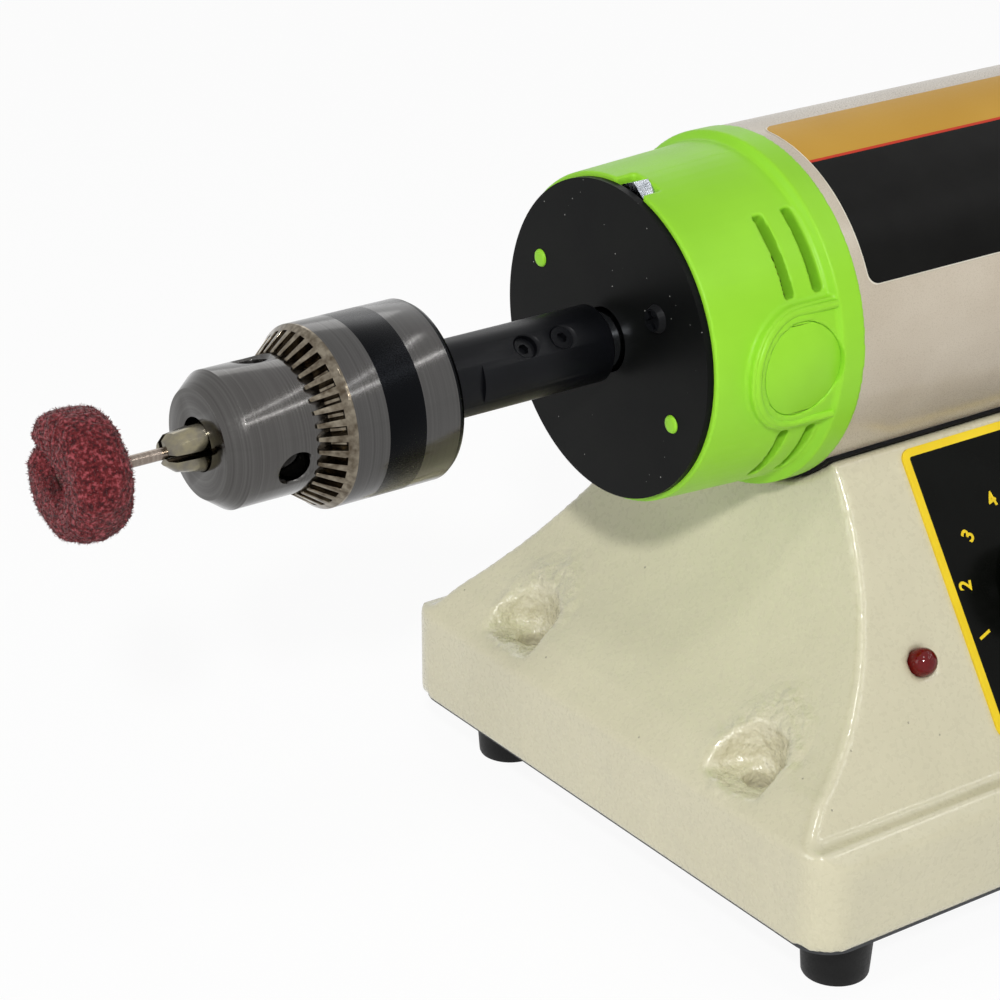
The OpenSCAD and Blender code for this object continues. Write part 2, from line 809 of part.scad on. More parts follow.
module field_coils() {
    over = core_len + 2 * winding_len;
    bar_len = 6;
    bar_w = 6.5;
    bar_span = 2 * coil_y + coil_h;
    color("#b5622c") on_spindle(-over / 2) {
        linear_extrude(over) at_coil_sides() square([coil_w, coil_h], center = true);
        for (x = [-1, 1], z = [0, over - bar_len]) translate([x * (coil_x + bar_w), 0, z + bar_len / 2])
            cube([bar_w, bar_span, bar_len], center = true);
    }
}

module at_bearings() {
    on_spindle(face_x + bearing_x) children();
    mirrored_end() translate([0, 0, bearing_x]) children();
}

module ball_groove() {
    rotate_extrude() translate([ball_pitch_r, bearing_w / 2]) circle(groove_r);
}

module bearing_outer_rings() {
    color("#b7bbbf") at_bearings() difference() {
        tube_ring(bearing_w, bearing_r - run_gap / 2, outer_race_r - race_lip);
        ball_groove();
    }
}

module bearing_inner_rings() {
    color("#b7bbbf") at_bearings() difference() {
        tube_ring(bearing_w, inner_race_r + race_lip, bearing_bore_r);
        ball_groove();
    }
}

module bearing_balls() {
    color("#d9dcdf") at_bearings() for (i = [0:ball_count - 1]) rotate([0, 0, i * 360 / ball_count])
        translate([ball_pitch_r, 0, bearing_w / 2]) sphere(ball_r);
}

// Crown cages: a ring beside the balls with a finger between each pair
module bearing_cages() {
    ring_t = 0.9;
    half_t = 0.45;
    finger_w = 1.8;
    ring_z = bearing_w / 2 + ball_r + 0.1;
    color("#a9773a") at_bearings() {
        translate([0, 0, ring_z]) tube_ring(ring_t, ball_pitch_r + half_t, ball_pitch_r - half_t);
        for (i = [0:ball_count - 1]) rotate([0, 0, (i + 0.5) * 360 / ball_count])
            translate([ball_pitch_r - half_t + 0.1, -finger_w / 2, bearing_w / 2 - 1])
                cube([2 * half_t - 0.2, finger_w, ball_r + 1.2]);
    }
}

module at_brushes() {
    on_spindle(face_x) brush_sides() children();
}

module brush_tube(clear, from, to) {
    translate([0, 0, (from + to) / 2])
        cube([brush_long + 2 * clear, brush_wide + 2 * clear, to - from], center = true);
}

module brush_holders() {
    bottom = commutator_d / 2 + 1.5;
    color("#c29a45") at_brushes() difference() {
        brush_tube(holder_wall, bottom, holder_top_r);
        brush_tube(run_gap, bottom - 1, holder_top_r + 1);
    }
}

module carbon_brush() {
    difference() {
        brush_tube(0, commutator_d / 2 - 1, commutator_d / 2 + brush_len);
        translate([-far / 2, 0, 0]) rotate([0, 90, 0]) cylinder(h = far, r = commutator_d / 2 + run_gap);
    }
}

module on_front_brush() {
    on_spindle(face_x + brush_x) rotate([0, 0, 180]) rotate([0, 90, 0]) children();
}

module on_rear_brush() {
    on_spindle(face_x + brush_x) rotate([0, 90, 0]) children();
}

module front_brush() {
    color("#2a2a2c") on_front_brush() carbon_brush();
}

module rear_brush() {
    color("#2a2a2c") on_rear_brush() carbon_brush();
}

module brush_spring() {
    bottom = commutator_d / 2 + brush_len;
    wire = 0.6;
    translate([0, 0, bottom]) tube_ring(pad_floor_r - bottom, spring_r, spring_r - wire);
}

module front_brush_spring() {
    color("#9a9da1") on_front_brush() brush_spring();
}

module rear_brush_spring() {
    color("#9a9da1") on_rear_brush() brush_spring();
}

module brush_covers() {
    color("#98e23c") on_spindle(face_x) intersection() {
        brush_sides() translate([0, 0, pad_floor_r]) cylinder(h = far, d = brush_cover_d);
        cylinder(h = cap_len, r = cover_top_r);
    }
}

// Spindle

module motor_shaft() {
    inside_rod = rod_bore_len - clear_gap;
    len = motor_len + rod_gap + inside_rod + nose_len / 2;
    color("#c9ccd0") on_spindle(rod_rear_x - inside_rod) cylinder(h = len, d = shaft_d);
}

module shaft_collar() {
    color("#d4d7da") on_spindle(rod_rear_x) tube_ring(rod_gap + bearing_x, collar_r - 0.2, bearing_bore_r);
}

module rotor_core() {
    slots = 12;
    slot_depth = 7;
    slot_open = 2;
    color("#8a8f96") on_spindle(-core_len / 2) difference() {
        tube_ring(core_len, rotor_d / 2, bearing_bore_r);
        for (i = [0:slots - 1]) rotate([0, 0, i * 360 / slots])
            translate([rotor_d / 2 - slot_depth, -slot_open / 2, -1]) cube([far, slot_open, core_len + 2]);
    }
}

module rotor_windings() {
    inner = shaft_d / 2 + 2;
    color("#b5622c") for (s = [0, 1]) mirror_x_if(s) on_spindle(core_len / 2)
        tube_ring(winding_len - 1, rotor_d / 2 - 2.5, inner);
}

module mirror_x_if(flag) {
    if (flag == 1) translate([-2 * frame_shift, 0, 0]) mirror([1, 0, 0]) children();
    else children();
}

module commutator() {
    gap = 0.5;
    depth = 1.2;
    color("#c0793a") on_spindle(face_x + commutator_x) difference() {
        tube_ring(commutator_len, commutator_d / 2, bearing_bore_r);
        for (i = [0:commutator_bars - 1]) rotate([0, 0, i * 360 / commutator_bars])
            translate([commutator_d / 2 - depth, -gap / 2, -1]) cube([far, gap, commutator_len + 2]);
    }
}

module cooling_fan() {
    plate = 1.5;
    fan_hub_r = 9;
    blade = 1.4;
    color("#20242a") on_spindle(face_x + fan_x) difference() {
        union() {
            cylinder(h = fan_len, r = fan_hub_r);
            cylinder(h = plate, d = fan_d);
            for (i = [0:fan_blades - 1]) rotate([0, 0, i * 360 / fan_blades])
                translate([fan_hub_r - 1, -blade / 2, 0]) cube([fan_d / 2 - fan_hub_r, blade, fan_len]);
        }
        translate([0, 0, -1]) cylinder(h = fan_len + 2, r = bearing_bore_r);
    }
}

module adapter_rod() {
    edge = 0.6;
    color("#1b1c1f") on_spindle(chuck_rear_x) difference() {
        union() {
            cylinder(h = rod_len - edge, r = rod_r);
            translate([0, 0, rod_len - edge]) cylinder(h = edge, r1 = rod_r, r2 = rod_r - edge);
            translate([0, 0, -stud_len]) cylinder(h = stud_len + 1, r = stud_r);
        }
        translate([0, 0, rod_len - rod_bore_len]) cylinder(h = rod_bore_len + 1, r = bearing_bore_r);
        for (s = set_screw_spots)
            translate([0, 0, rod_len - s]) rotate([0, 0, set_screw_angle]) rotate([0, 90, 0]) {
                cylinder(h = far, d = set_screw_d);
                translate([0, 0, rod_r - edge])
                    cylinder(h = 2 * edge, d1 = set_screw_d, d2 = set_screw_d + 4 * edge);
            }
        for (a = [0, 180]) rotate([0, 0, a + flat_angle]) translate([flat_half, -far / 2, -eps])
            cube([far, far, flat_len]);
    }
}

module rod_set_screws() {
    heights = [3.4, 2.2];
    socket_w = 2;
    socket_h = 1.4;
    color("#2b2c2f") on_spindle(chuck_rear_x) for (i = [0:1])
        translate([0, 0, rod_len - set_screw_spots[i]]) rotate([0, 0, set_screw_angle]) rotate([0, 90, 0])
            translate([0, 0, shaft_d / 2 + run_gap]) difference() {
                cylinder(h = heights[i], d = set_screw_d - 2 * run_gap);
                translate([0, 0, heights[i] - socket_h]) hexagon(socket_h + 1, socket_w);
            }
}

// Chuck, with children's z = 0 at the nose face

module at_jaw(i) {
    on_spindle(nose_x) rotate([0, 0, jaw_gap_angle + 60 + 120 * i]) children();
}

module jaw_rod(grow, from, to) {
    translate([jaw_axis_r, 0, 0]) rotate([0, jaw_tilt, 0]) translate([0, 0, from])
        cylinder(h = to - from, r = jaw_r + grow);
}

module chuck_body() {
    tail_x = nut_front_x + nut_len + nut_play - nose_x;
    neck_x = nut_front_x - nut_play - nose_x;
    neck_front_r = jaw_mouth_r + neck_x * tan(jaw_tilt);
    neck_rear_r = jaw_mouth_r + tail_x * tan(jaw_tilt);
    color("#b4b8bc") difference() {
        on_spindle(nose_x) difference() {
            union() {
                cylinder(h = nose_chamfer_len, r1 = nose_face_r, r2 = body_r);
                translate([0, 0, nose_chamfer_len]) cylinder(h = neck_x - nose_chamfer_len, r = body_r);
                translate([0, 0, neck_x - eps])
                    cylinder(h = tail_x - neck_x + 2 * eps, r1 = neck_front_r, r2 = neck_rear_r);
                translate([0, 0, tail_x]) cylinder(h = chuck_len - tail_x - tail_step, r = tail_r);
            }
            translate([0, 0, -1]) cylinder(h = mouth_depth + 1, r = mouth_r);
            translate([0, 0, -1]) cylinder(h = pilot_len, r = pilot_r);
            translate([0, 0, chuck_len - stud_len - 1]) cylinder(h = far, r = stud_r + run_gap);
            for (a = [0:120:240]) rotate([0, 0, key_hole_angle + a])
                translate([0, 0, key_hole_x - nose_x]) rotate([0, 90, 0]) {
                    translate([0, 0, key_hole_floor_r]) cylinder(h = far, d = key_hole_d);
                    translate([0, 0, body_r - key_chamfer])
                        cylinder(h = 2 * key_chamfer, d1 = key_hole_d, d2 = key_hole_d + 4 * key_chamfer);
                }
        }
        for (i = [0:2]) at_jaw(i) jaw_rod(jaw_bore_gap, -10, far);
    }
}

module sleeve_profile() {
    barrel_z = teeth_len;
    len = barrel_len + teeth_len;
    front_bore = body_r + run_gap;
    rear_bore = tail_r + tail_gap;
    step_z = nut_front_x - teeth_front_x;
    edge = 0.6;
    polygon([[front_bore, 0], [front_bore + edge / 2, 0], [sleeve_r - edge, barrel_z - edge],
        [sleeve_r, barrel_z], [sleeve_r, len - rear_rim], [sleeve_r - rear_rim_inset, len],
        [rear_bore, len], [rear_bore, step_z], [front_bore, step_z]]);
}

// The gaps are cut along the cone from the nose outwards
module tooth_gaps() {
    start = body_r;
    run = sleeve_r - tooth_rim - start;
    slant = atan2(sleeve_r - body_r, teeth_len);
    length = run / sin(slant);
    half_w = PI * (start + run) / teeth * 0.55;
    for (i = [0:teeth - 1]) rotate([0, 0, i * 360 / teeth]) translate([start, 0, 0]) rotate([0, slant, 0])
        rotate([0, 0, 90]) translate([0, 0, -2]) linear_extrude(length + 2)
            polygon([[-half_w, -1], [-half_w, 0.2], [-half_w / 3, tooth_depth], [half_w / 3, tooth_depth],
                [half_w, 0.2], [half_w, -1]]);
}

module chuck_sleeve() {
    color("#a9adb1") on_spindle(teeth_front_x) difference() {
        rotate_extrude() sleeve_profile();
        tooth_gaps();
    }
}

module chuck_nut() {
    split = 0.6;
    front_r = jaw_mouth_r + (nut_front_x - nose_x) * tan(jaw_tilt) + tail_gap;
    rear_r = jaw_mouth_r + (nut_front_x + nut_len - nose_x) * tan(jaw_tilt) + tail_gap;
    color("#8d9196") on_spindle(nut_front_x) difference() {
        cylinder(h = nut_len, r = tail_r + tail_gap);
        translate([0, 0, -eps]) cylinder(h = nut_len + 2 * eps, r1 = front_r, r2 = rear_r);
        translate([-far / 2, -split / 2, -1]) cube([far, split, nut_len + 2]);
    }
}

module chuck_jaw(i) {
    wedge = 30;
    apex = jaw_gap / (2 * sin(60));
    color("#b7a877") at_jaw(i) intersection() {
        jaw_rod(0, -jaw_reach - 5, chuck_len);
        translate([0, 0, -jaw_reach]) linear_extrude(jaw_len_x) intersection() {
            polygon([[apex, 0], [apex + wedge / 2, wedge * sin(60)], [apex + wedge / 2, -wedge * sin(60)]]);
            translate([shank_r + grip_gap, -far / 2]) square([far, far]);
        }
        translate([0, 0, -jaw_reach])
            cylinder(h = far, r1 = jaw_bevel_r, r2 = jaw_bevel_r + far * jaw_bevel);
    }
}

module chuck_jaw_1() {
    chuck_jaw(0);
}

module chuck_jaw_2() {
    chuck_jaw(1);
}

module chuck_jaw_3() {
    chuck_jaw(2);
}

module wheel_mandrel() {
    hub_x = wheel_front_x + wheel_recess - hub_screw_len;
    collar_h = 0.8;
    color("#d0d3d6") {
        on_spindle(hub_x) cylinder(h = nose_x + shank_grip - hub_x, r = shank_r);
        on_spindle(hub_x) cylinder(h = hub_screw_len, r = hub_screw_r);
        on_spindle(wheel_rear_x) cylinder(h = collar_h, r = shank_r + 1);
    }
}

module polishing_wheel() {
    color("#7e2f36") on_spindle(wheel_front_x) difference() {
        intersection() {
            cylinder(h = wheel_w, d = wheel_d);
            translate([0, 0, wheel_w / 2]) sphere(wheel_round_r);
        }
        translate([0, 0, -1]) cylinder(h = wheel_recess + 1, r = wheel_recess_r);
        translate([0, 0, -1]) cylinder(h = wheel_w + 2, r = shank_r + grip_gap);
    }
}

// Controls

module control_panel() {
    panel_top = 3;
    color("#f5d92b") difference() {
        on_slope(0, panel_top + panel_h / 2) rounded_plate(panel_w, panel_h, panel_t, panel_corner_r);
        on_slope(-knob_offset, control_drop, -1) cylinder(h = panel_t + 2, r = pot_bush_r + clear_gap);
        on_slope(switch_offset, control_drop)
            cube([switch_body_w + 2 * clear_gap, switch_body_d + 2 * clear_gap, 3 * panel_t], center = true);
    }
}

module on_knob() {
    on_slope(-knob_offset, control_drop) children();
}

module speed_control() {
    bush_top = panel_t + pot_nut_h + 1;
    back = -casting_wall - pot_body_len;
    color("#8f949a") on_knob() difference() {
        union() {
            translate([0, 0, back]) cylinder(h = pot_body_len, r = pot_body_r);
            translate([0, 0, -casting_wall - 1]) cylinder(h = bush_top + casting_wall + 1, r = pot_bush_r);
            translate([0, -pot_body_r, back + pot_body_len / 2]) cube(pot_lugs, center = true);
        }
        translate([0, 0, back + pot_floor]) cylinder(h = far, r = pot_shaft_r + run_gap);
    }
}

module speed_control_nut() {
    color("#c3c6c9") on_knob() translate([0, 0, panel_t]) difference() {
        hexagon(pot_nut_h, pot_nut_w);
        translate([0, 0, -1]) cylinder(h = pot_nut_h + 2, r = pot_bush_r + run_gap);
    }
}

module speed_control_shaft() {
    low = -casting_wall - pot_body_len + pot_floor + clear_gap;
    high = panel_t + knob_gap + knob_h - knob_top_t;
    color("#c9ccd0") on_knob() translate([0, 0, low]) cylinder(h = high - low, r = pot_shaft_r);
}

module speed_knob() {
    skirt_h = 4;
    top_r = knob_d / 2 - 1.5;
    pointer_w = 1.2;
    grip_h = knob_h - skirt_h - knob_top_drop;
    color("#1d1e20") on_knob() translate([0, 0, panel_t + knob_gap]) difference() {
        union() {
            cylinder(h = skirt_h, d1 = knob_d, d2 = knob_d - 1);
            translate([0, 0, skirt_h - 1]) linear_extrude(grip_h + 1) difference() {
                circle(top_r);
                for (i = [0:knob_flutes - 1]) rotate([0, 0, i * 360 / knob_flutes])
                    translate([top_r + 0.3, 0]) circle(knob_flute_r);
            }
            translate([0, 0, skirt_h]) cylinder(h = knob_h - skirt_h, r1 = top_r - 0.8, r2 = top_r - 1.4);
        }
        translate([0, 0, -1]) cylinder(h = pot_nut_space_h + 1, r = pot_nut_space_r);
        translate([0, 0, -1]) cylinder(h = knob_h - knob_top_t + 1, r = knob_bore_r);
        translate([-pointer_w / 2, 2, knob_h - 0.6]) cube([pointer_w, far, 1]);
    }
}

module on_switch() {
    on_slope(switch_offset, control_drop, panel_t) children();
}

module switch_housing() {
    tab_len = 7;
    tab_w = 6;
    tab_t = 0.8;
    corner = 1;
    body_h = switch_body_len + bezel_h / 2;
    color("#1b1b1d") on_switch() difference() {
        union() {
            rounded_plate(switch_w, switch_len, bezel_h, corner);
            translate([-switch_body_w / 2, -switch_body_d / 2, -switch_body_len])
                cube([switch_body_w, switch_body_d, body_h]);
            for (x = [-1, 1])
                translate([x * switch_w / 4 - tab_t / 2, -tab_w / 2, -switch_body_len - tab_len])
                    cube([tab_t, tab_w, tab_len + 1]);
        }
        translate([-rocker_well_w / 2, -rocker_well_d / 2, -rocker_depth])
            cube([rocker_well_w, rocker_well_d, far]);
        translate([-rocker_well_w / 2 - pivot_seat, 0, rocker_pivot_h]) rotate([0, 90, 0])
            cylinder(h = rocker_well_w + 2 * pivot_seat, r = rocker_pivot_r + run_gap);
    }
}

// The rocker in its middle position, with the pivot on children's x axis
module rocker_neutral() {
    w = rocker_well_w - 2 * clear_gap;
    reach = rocker_well_d / 2 - 0.8;
    rise = 4.2;
    dip = 2.6;
    keel = 3.5;
    pin_reach = pivot_seat - 2 * run_gap + clear_gap;
    half = [[keel / 2, -keel], [reach - 1, -0.5], [reach, rise], [1.5, dip]];
    other = [for (i = [3:-1:0]) [-half[i][0], half[i][1]]];
    translate([-w / 2, 0, 0]) rotate([90, 0, 90]) linear_extrude(w) polygon(concat(half, other));
    translate([-w / 2 - pin_reach, 0, 0]) rotate([0, 90, 0])
        cylinder(h = w + 2 * pin_reach, r = rocker_pivot_r);
}

module switch_rocker() {
    color("#c62a22") on_switch() translate([0, 0, rocker_pivot_h]) rotate([rocker_throw / 2, 0, 0])
        rocker_neutral();
}

module power_light() {
    rim = 1;
    color("#8e1519") on_slope(led_x, led_drop) {
        translate([0, 0, -casting_wall - rim]) cylinder(h = rim, r = led_d / 2 + 1);
        translate([0, 0, -casting_wall - eps]) cylinder(h = casting_wall + led_proud + eps, d = led_d);
        translate([0, 0, led_proud]) intersection() {
            sphere(led_d / 2);
            translate([0, 0, far / 2]) cube(far, center = true);
        }
    }
}

module cord_grommet() {
    taper = 0.8;
    color("#151515") on_rear_slope(grommet_x, grommet_drop) difference() {
        union() {
            cylinder(h = grommet_flange_t, r = grommet_flange_r);
            translate([0, 0, grommet_flange_t - eps])
                cylinder(h = grommet_proud, r1 = grommet_neck_r + taper, r2 = grommet_neck_r - taper);
            translate([0, 0, -casting_wall - eps]) cylinder(h = casting_wall + 2 * eps, r = grommet_neck_r);
            translate([0, 0, -casting_wall - grommet_flange_t])
                cylinder(h = grommet_flange_t, r = grommet_flange_r - taper);
        }
        translate([0, 0, -far / 2]) cylinder(h = far, r = cord_bore_r);
    }
}

// Electronics on the bottom cover

module at_board_corners() {
    half = [board_len / 2 - board_screw_inset, board_w / 2 - board_screw_inset];
    for (x = [-1, 1], y = [-1, 1]) translate([x * half[0], y * half[1], 0]) children();
}

module on_board() {
    placed() translate([0, 0, base_z + board_z + board_t]) children();
}

module circuit_board() {
    color("#1f6b3a") placed() translate([0, 0, base_z + board_z]) difference() {
        translate([-board_len / 2, -board_w / 2, 0]) cube([board_len, board_w, board_t]);
        at_board_corners() translate([0, 0, -1]) cylinder(h = board_t + 2, r = board_hole_r);
    }
}

module board_standoffs() {
    color("#c29a45") placed() at_board_corners() translate([0, 0, base_z])
        tube_ring(board_z, standoff_r, board_hole_r);
}

module board_screws() {
    head_h = 1.8;
    head_r = 2.7;
    nut_h = 2.2;
    nut_w = 5.5;
    stack = cover_t + board_z + board_t;
    color("#b9bcc0") placed() at_board_corners() translate([0, 0, foot_h]) {
        translate([0, 0, -head_h]) cylinder(h = head_h, r = head_r);
        translate([0, 0, -eps]) cylinder(h = stack + nut_h, r = board_hole_r - run_gap);
        translate([0, 0, stack]) hexagon(nut_h, nut_w);
    }
}

module heat_sink() {
    w = 12;
    span = 26;
    plate = 3;
    fin = 1.6;
    fins = 6;
    fin_h = 20;
    color("#a9adb2") on_board() translate(heat_sink_at) {
        cube([w, span, plate]);
        for (i = [0:fins - 1]) translate([0, i * (span - fin) / (fins - 1), 0]) cube([w, fin, fin_h]);
    }
}

module capacitor() {
    color("#c9b458") on_board() translate(capacitor_at) cube(capacitor_size);
}

module choke_coil() {
    ring_r = 6.5;
    wire_r = 3.9;
    base_h = 1.2;
    color("#b5622c") on_board() translate(choke_at) {
        cylinder(h = base_h, r = ring_r + wire_r);
        rotate_extrude() translate([ring_r, base_h + wire_r - 0.4]) circle(wire_r);
    }
}

module flex_shaft_nose() {
    plate_t = 2.4;
    plate_r = 14;
    bore_r = shaft_d / 2 + 1.5;
    edge = 1;
    color("#9da1a6") mirrored_end() difference() {
        union() {
            translate([0, 0, -plate_t]) cylinder(h = plate_t, r = plate_r);
            translate([0, 0, -nose_len + edge]) cylinder(h = nose_len - edge, d = nose_barrel_d);
            translate([0, 0, -nose_len])
                cylinder(h = edge + eps, d1 = nose_barrel_d - 2 * edge, d2 = nose_barrel_d);
        }
        translate([0, 0, -far]) cylinder(h = 2 * far, r = bore_r);
    }
}

base_casting();
saddle_gasket();
bottom_cover();
rubber_feet();
foot_screws();
motor_tube();
rating_label();
left_end_cap();
right_end_cap();
left_end_disc();
right_end_disc();
end_disc_screws();
through_bolts();
motor_mount_bolts();
motor_mount_nuts();
stator_core();
field_coils();
bearing_outer_rings();
bearing_balls();
bearing_cages();
bearing_inner_rings();
brush_holders();
front_brush();
rear_brush();
front_brush_spring();
rear_brush_spring();
brush_covers();
motor_shaft();
shaft_collar();
rotor_core();
rotor_windings();
commutator();
cooling_fan();
adapter_rod();
rod_set_screws();
chuck_body();
chuck_sleeve();
chuck_nut();
chuck_jaw_1();
chuck_jaw_2();
chuck_jaw_3();
wheel_mandrel();
polishing_wheel();
control_panel();
speed_control();
speed_control_nut();
speed_control_shaft();
speed_knob();
switch_housing();
switch_rocker();
power_light();
cord_grommet();
circuit_board();
board_standoffs();
board_screws();
heat_sink();
capacitor();
choke_coil();
flex_shaft_nose();
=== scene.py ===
"""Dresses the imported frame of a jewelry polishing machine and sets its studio.

Lengths are in millimetres and angles in degrees, unless a name says otherwise. X runs along the spindle, from the
wheel to the motor, Y to the rear and Z up.
"""

import logging
import math
import random
from dataclasses import dataclass
from enum import Enum
from typing import Callable, Sequence

import bpy
from mathutils import Matrix, Vector

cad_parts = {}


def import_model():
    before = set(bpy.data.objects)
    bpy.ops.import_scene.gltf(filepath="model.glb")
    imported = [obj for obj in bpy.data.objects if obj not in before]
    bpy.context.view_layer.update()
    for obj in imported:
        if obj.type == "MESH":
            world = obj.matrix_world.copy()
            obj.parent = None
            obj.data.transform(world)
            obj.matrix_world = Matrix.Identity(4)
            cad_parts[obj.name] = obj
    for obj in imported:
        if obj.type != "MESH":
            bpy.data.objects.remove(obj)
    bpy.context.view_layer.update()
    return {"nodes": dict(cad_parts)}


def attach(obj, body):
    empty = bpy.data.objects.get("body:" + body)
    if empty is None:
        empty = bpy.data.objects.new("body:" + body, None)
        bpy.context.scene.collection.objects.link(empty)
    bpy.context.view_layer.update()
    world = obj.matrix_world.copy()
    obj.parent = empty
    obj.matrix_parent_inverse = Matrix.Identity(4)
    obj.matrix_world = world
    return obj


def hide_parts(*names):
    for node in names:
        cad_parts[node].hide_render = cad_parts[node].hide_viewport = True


LOG = logging.getLogger("polishing_machine")
MM = 0.001
SPINDLE_HEIGHT = 125.0
TUBE_RADIUS = 37.0
# X of the left and right bench bolts, and how far they all lie from the spindle along Y.
BENCH_BOLT_X = (-23.5, 133.5)
BENCH_BOLT_Y = 39.5
# Corners of a frame piece's loose triangles that lie closer than this, in metres, are one.
MERGE_M = 1e-6
# Sockets of a Mix node for colours: the share of its second colour, both colours, and the blend.
SHARE, FIRST, SECOND, BLEND = 0, 6, 7, 2

Socket = bpy.types.NodeSocket
Piece = bpy.types.Object
Colour = tuple[float, float, float, float]


def linear(hex_colour: str) -> Colour:
    """Turns an sRGB hex colour into linear light.

    Args:
        hex_colour: The colour as "#RRGGBB".

    Returns:
        Red, green, blue and an alpha of 1.
    """
    parts = [int(hex_colour[i : i + 2], 16) / 255 for i in (1, 3, 5)]
    red, green, blue = (c / 12.92 if c <= 0.04045 else ((c + 0.055) / 1.055) ** 2.4 for c in parts)
    return red, green, blue, 1.0


def per_metre(size_mm: float) -> float:
    """Returns the scale at which a pattern's lumps are size_mm across."""
    return 1 / (size_mm * MM)


class Body(Enum):
    """The moving bodies of the frame that new pieces ride on."""

    MACHINE = "machine"
    SPINDLE = "spindle"
    SLEEVE = "sleeve"
    TOOL = "tool"
    KNOB = "knob"
    ROCKER = "rocker"


# ---------------------------------------------------------------- finishes


def feed(socket: Socket, value: object) -> None:
    """Links a socket from another one, or sets its value."""
    if isinstance(value, bpy.types.NodeSocket):
        socket.id_data.links.new(value, socket)
    else:
        socket.default_value = value


class Graph:
    """A node tree, and the one way in which nodes come into it."""

    def __init__(self, tree: bpy.types.NodeTree) -> None:
        """Takes the tree."""
        self.tree = tree

    def add(self, kind: str, inputs: dict[str | int, object] | None = None, out: str | int = 0,
            **settings: object) -> Socket:
        """Adds a node with its settings, values and links.

        Args:
            kind: The node's type name, without the prefix that all of them share.
            inputs: Socket name or number to a value, or to the socket that it is linked from.
            out: Name or number of the output that is wanted.
            **settings: Properties of the node itself.

        Returns:
            That output.
        """
        node = self.tree.nodes.new(f"ShaderNode{kind}")
        for key, value in settings.items():
            setattr(node, key, value)
        for key, value in (inputs or {}).items():
            feed(node.inputs[key], value)
        return node.outputs[out]


class Shader(Graph):
    """A material's node tree round its own surface shader."""

    def __init__(self, name: str) -> None:
        """Starts a material with a plain Principled surface."""
        self.material = bpy.data.materials.new(name)
        self.material.use_nodes = True
        super().__init__(self.material.node_tree)
        self.surface = self.tree.nodes["Principled BSDF"]
        self.place = self.add("TexCoord", out="Object")

    def radius(self) -> Socket:
        """Returns the distance from the spindle, in metres."""
        section = self.add("Mapping", {"Vector": self.place, "Location": (0.0, 0.0, -SPINDLE_HEIGHT * MM),
                                       "Scale": (0.0, 1.0, 1.0)})
        return self.add("VectorMath", {0: section}, "Value", operation="LENGTH")

    def patches(self, size_mm: float, detail: float, low: float, high: float) -> Socket:
        """Returns soft patches.

        Args:
            size_mm: Their size.
            detail: How ragged their edges are.
            low: Level of the noise up to which they are 0.
            high: Level of the noise from which they are 1.

        Returns:
            How far a place lies inside a patch.
        """
        noise = self.add("TexNoise", {"Vector": self.place, "Scale": per_metre(size_mm), "Detail": detail})
        return self.add("MapRange", {"Value": noise, "From Min": low, "From Max": high})

    def specks(self, spacing_mm: float, edge: tuple[float, float], chance: Socket) -> Socket:
        """Returns small round specks that come in patches.

        Args:
            spacing_mm: Their distance from one another.
            edge: Shares of that distance at which a speck ends and at which it is full.
            chance: The patches.

        Returns:
            How far a place lies inside a speck.
        """
        cells = self.add("TexVoronoi", {"Vector": self.place, "Scale": per_metre(spacing_mm)})
        near = self.add("MapRange", {"Value": cells, "From Min": edge[0], "From Max": edge[1]})
        return self.add("Math", {0: near, 1: chance}, operation="MULTIPLY")

    def under(self, name: str) -> Socket:
        """Returns what a socket of the surface is linked from so far."""
        return self.surface.inputs[name].links[0].from_socket

    def cover(self, share: Socket, colour: Colour | Socket) -> None:
        """Lays a share of another colour over the surface's own."""
        tone = self.add("Mix", {SHARE: share, FIRST: self.under("Base Color"), SECOND: colour}, BLEND,
                        data_type="RGBA")
        self.set(Base_Color=tone)

    def set(self, **values: object) -> None:
        """Sets or links the surface's sockets, named with _ for each space."""
        for key, value in values.items():
            feed(self.surface.inputs[key.replace("_", " ")], value)


@dataclass(frozen=True)
class Finish:
    """A surface finish with a slight drift of colour and a fine grain.

    Attributes:
        name: What the material is.
        colour: Main colour.
        shade: Colour that it drifts to.
        rough: Lowest and highest roughness.
        grain_mm: Size of the grain, and its depth.
        metal: 1 for bare metal.
        coat: Weight of a clear top layer.
        gloss: Strength of the mirror reflection of a surface that is no metal.
        stretch: How many times finer the grain is along X, Y and Z.
        drift_mm: Size of the patches of colour.
    """

    name: str
    colour: str
    shade: str
    rough: tuple[float, float] = (0.3, 0.45)
    grain_mm: tuple[float, float] = (0.6, 0.01)
    metal: float = 0.0
    coat: float = 0.0
    gloss: float = 0.5
    stretch: tuple[float, float, float] = (1.0, 1.0, 1.0)
    drift_mm: float = 12.0

    def paint(self) -> Shader:
        """Builds the shader; a kind of finish with more to it adds to this one."""
        shader = Shader(self.name)
        drift = shader.patches(self.drift_mm, 3.0, 0.35, 0.65)
        tone = shader.add("Mix", {SHARE: drift, FIRST: linear(self.colour), SECOND: linear(self.shade)}, BLEND,
                          data_type="RGBA")
        size, depth = self.grain_mm
        drawn = shader.add("Mapping", {"Vector": shader.place, "Scale": self.stretch})
        grain = shader.add("TexNoise", {"Vector": drawn, "Scale": per_metre(size), "Detail": 3.0})
        rough = shader.add("MapRange", {"Value": grain, "From Min": 0.3, "From Max": 0.7,
                                        "To Min": self.rough[0], "To Max": self.rough[1]})
        shader.set(Base_Color=tone, Roughness=rough, Metallic=self.metal, Specular_IOR_Level=self.gloss,
                   Normal=shader.add("Bump", {"Height": grain, "Distance": depth * MM}))
        if self.coat:
            shader.set(Coat_Weight=self.coat, Coat_Roughness=0.08)
        return shader

    def material(self) -> bpy.types.Material:
        """Returns the finished material."""
        return self.paint().material


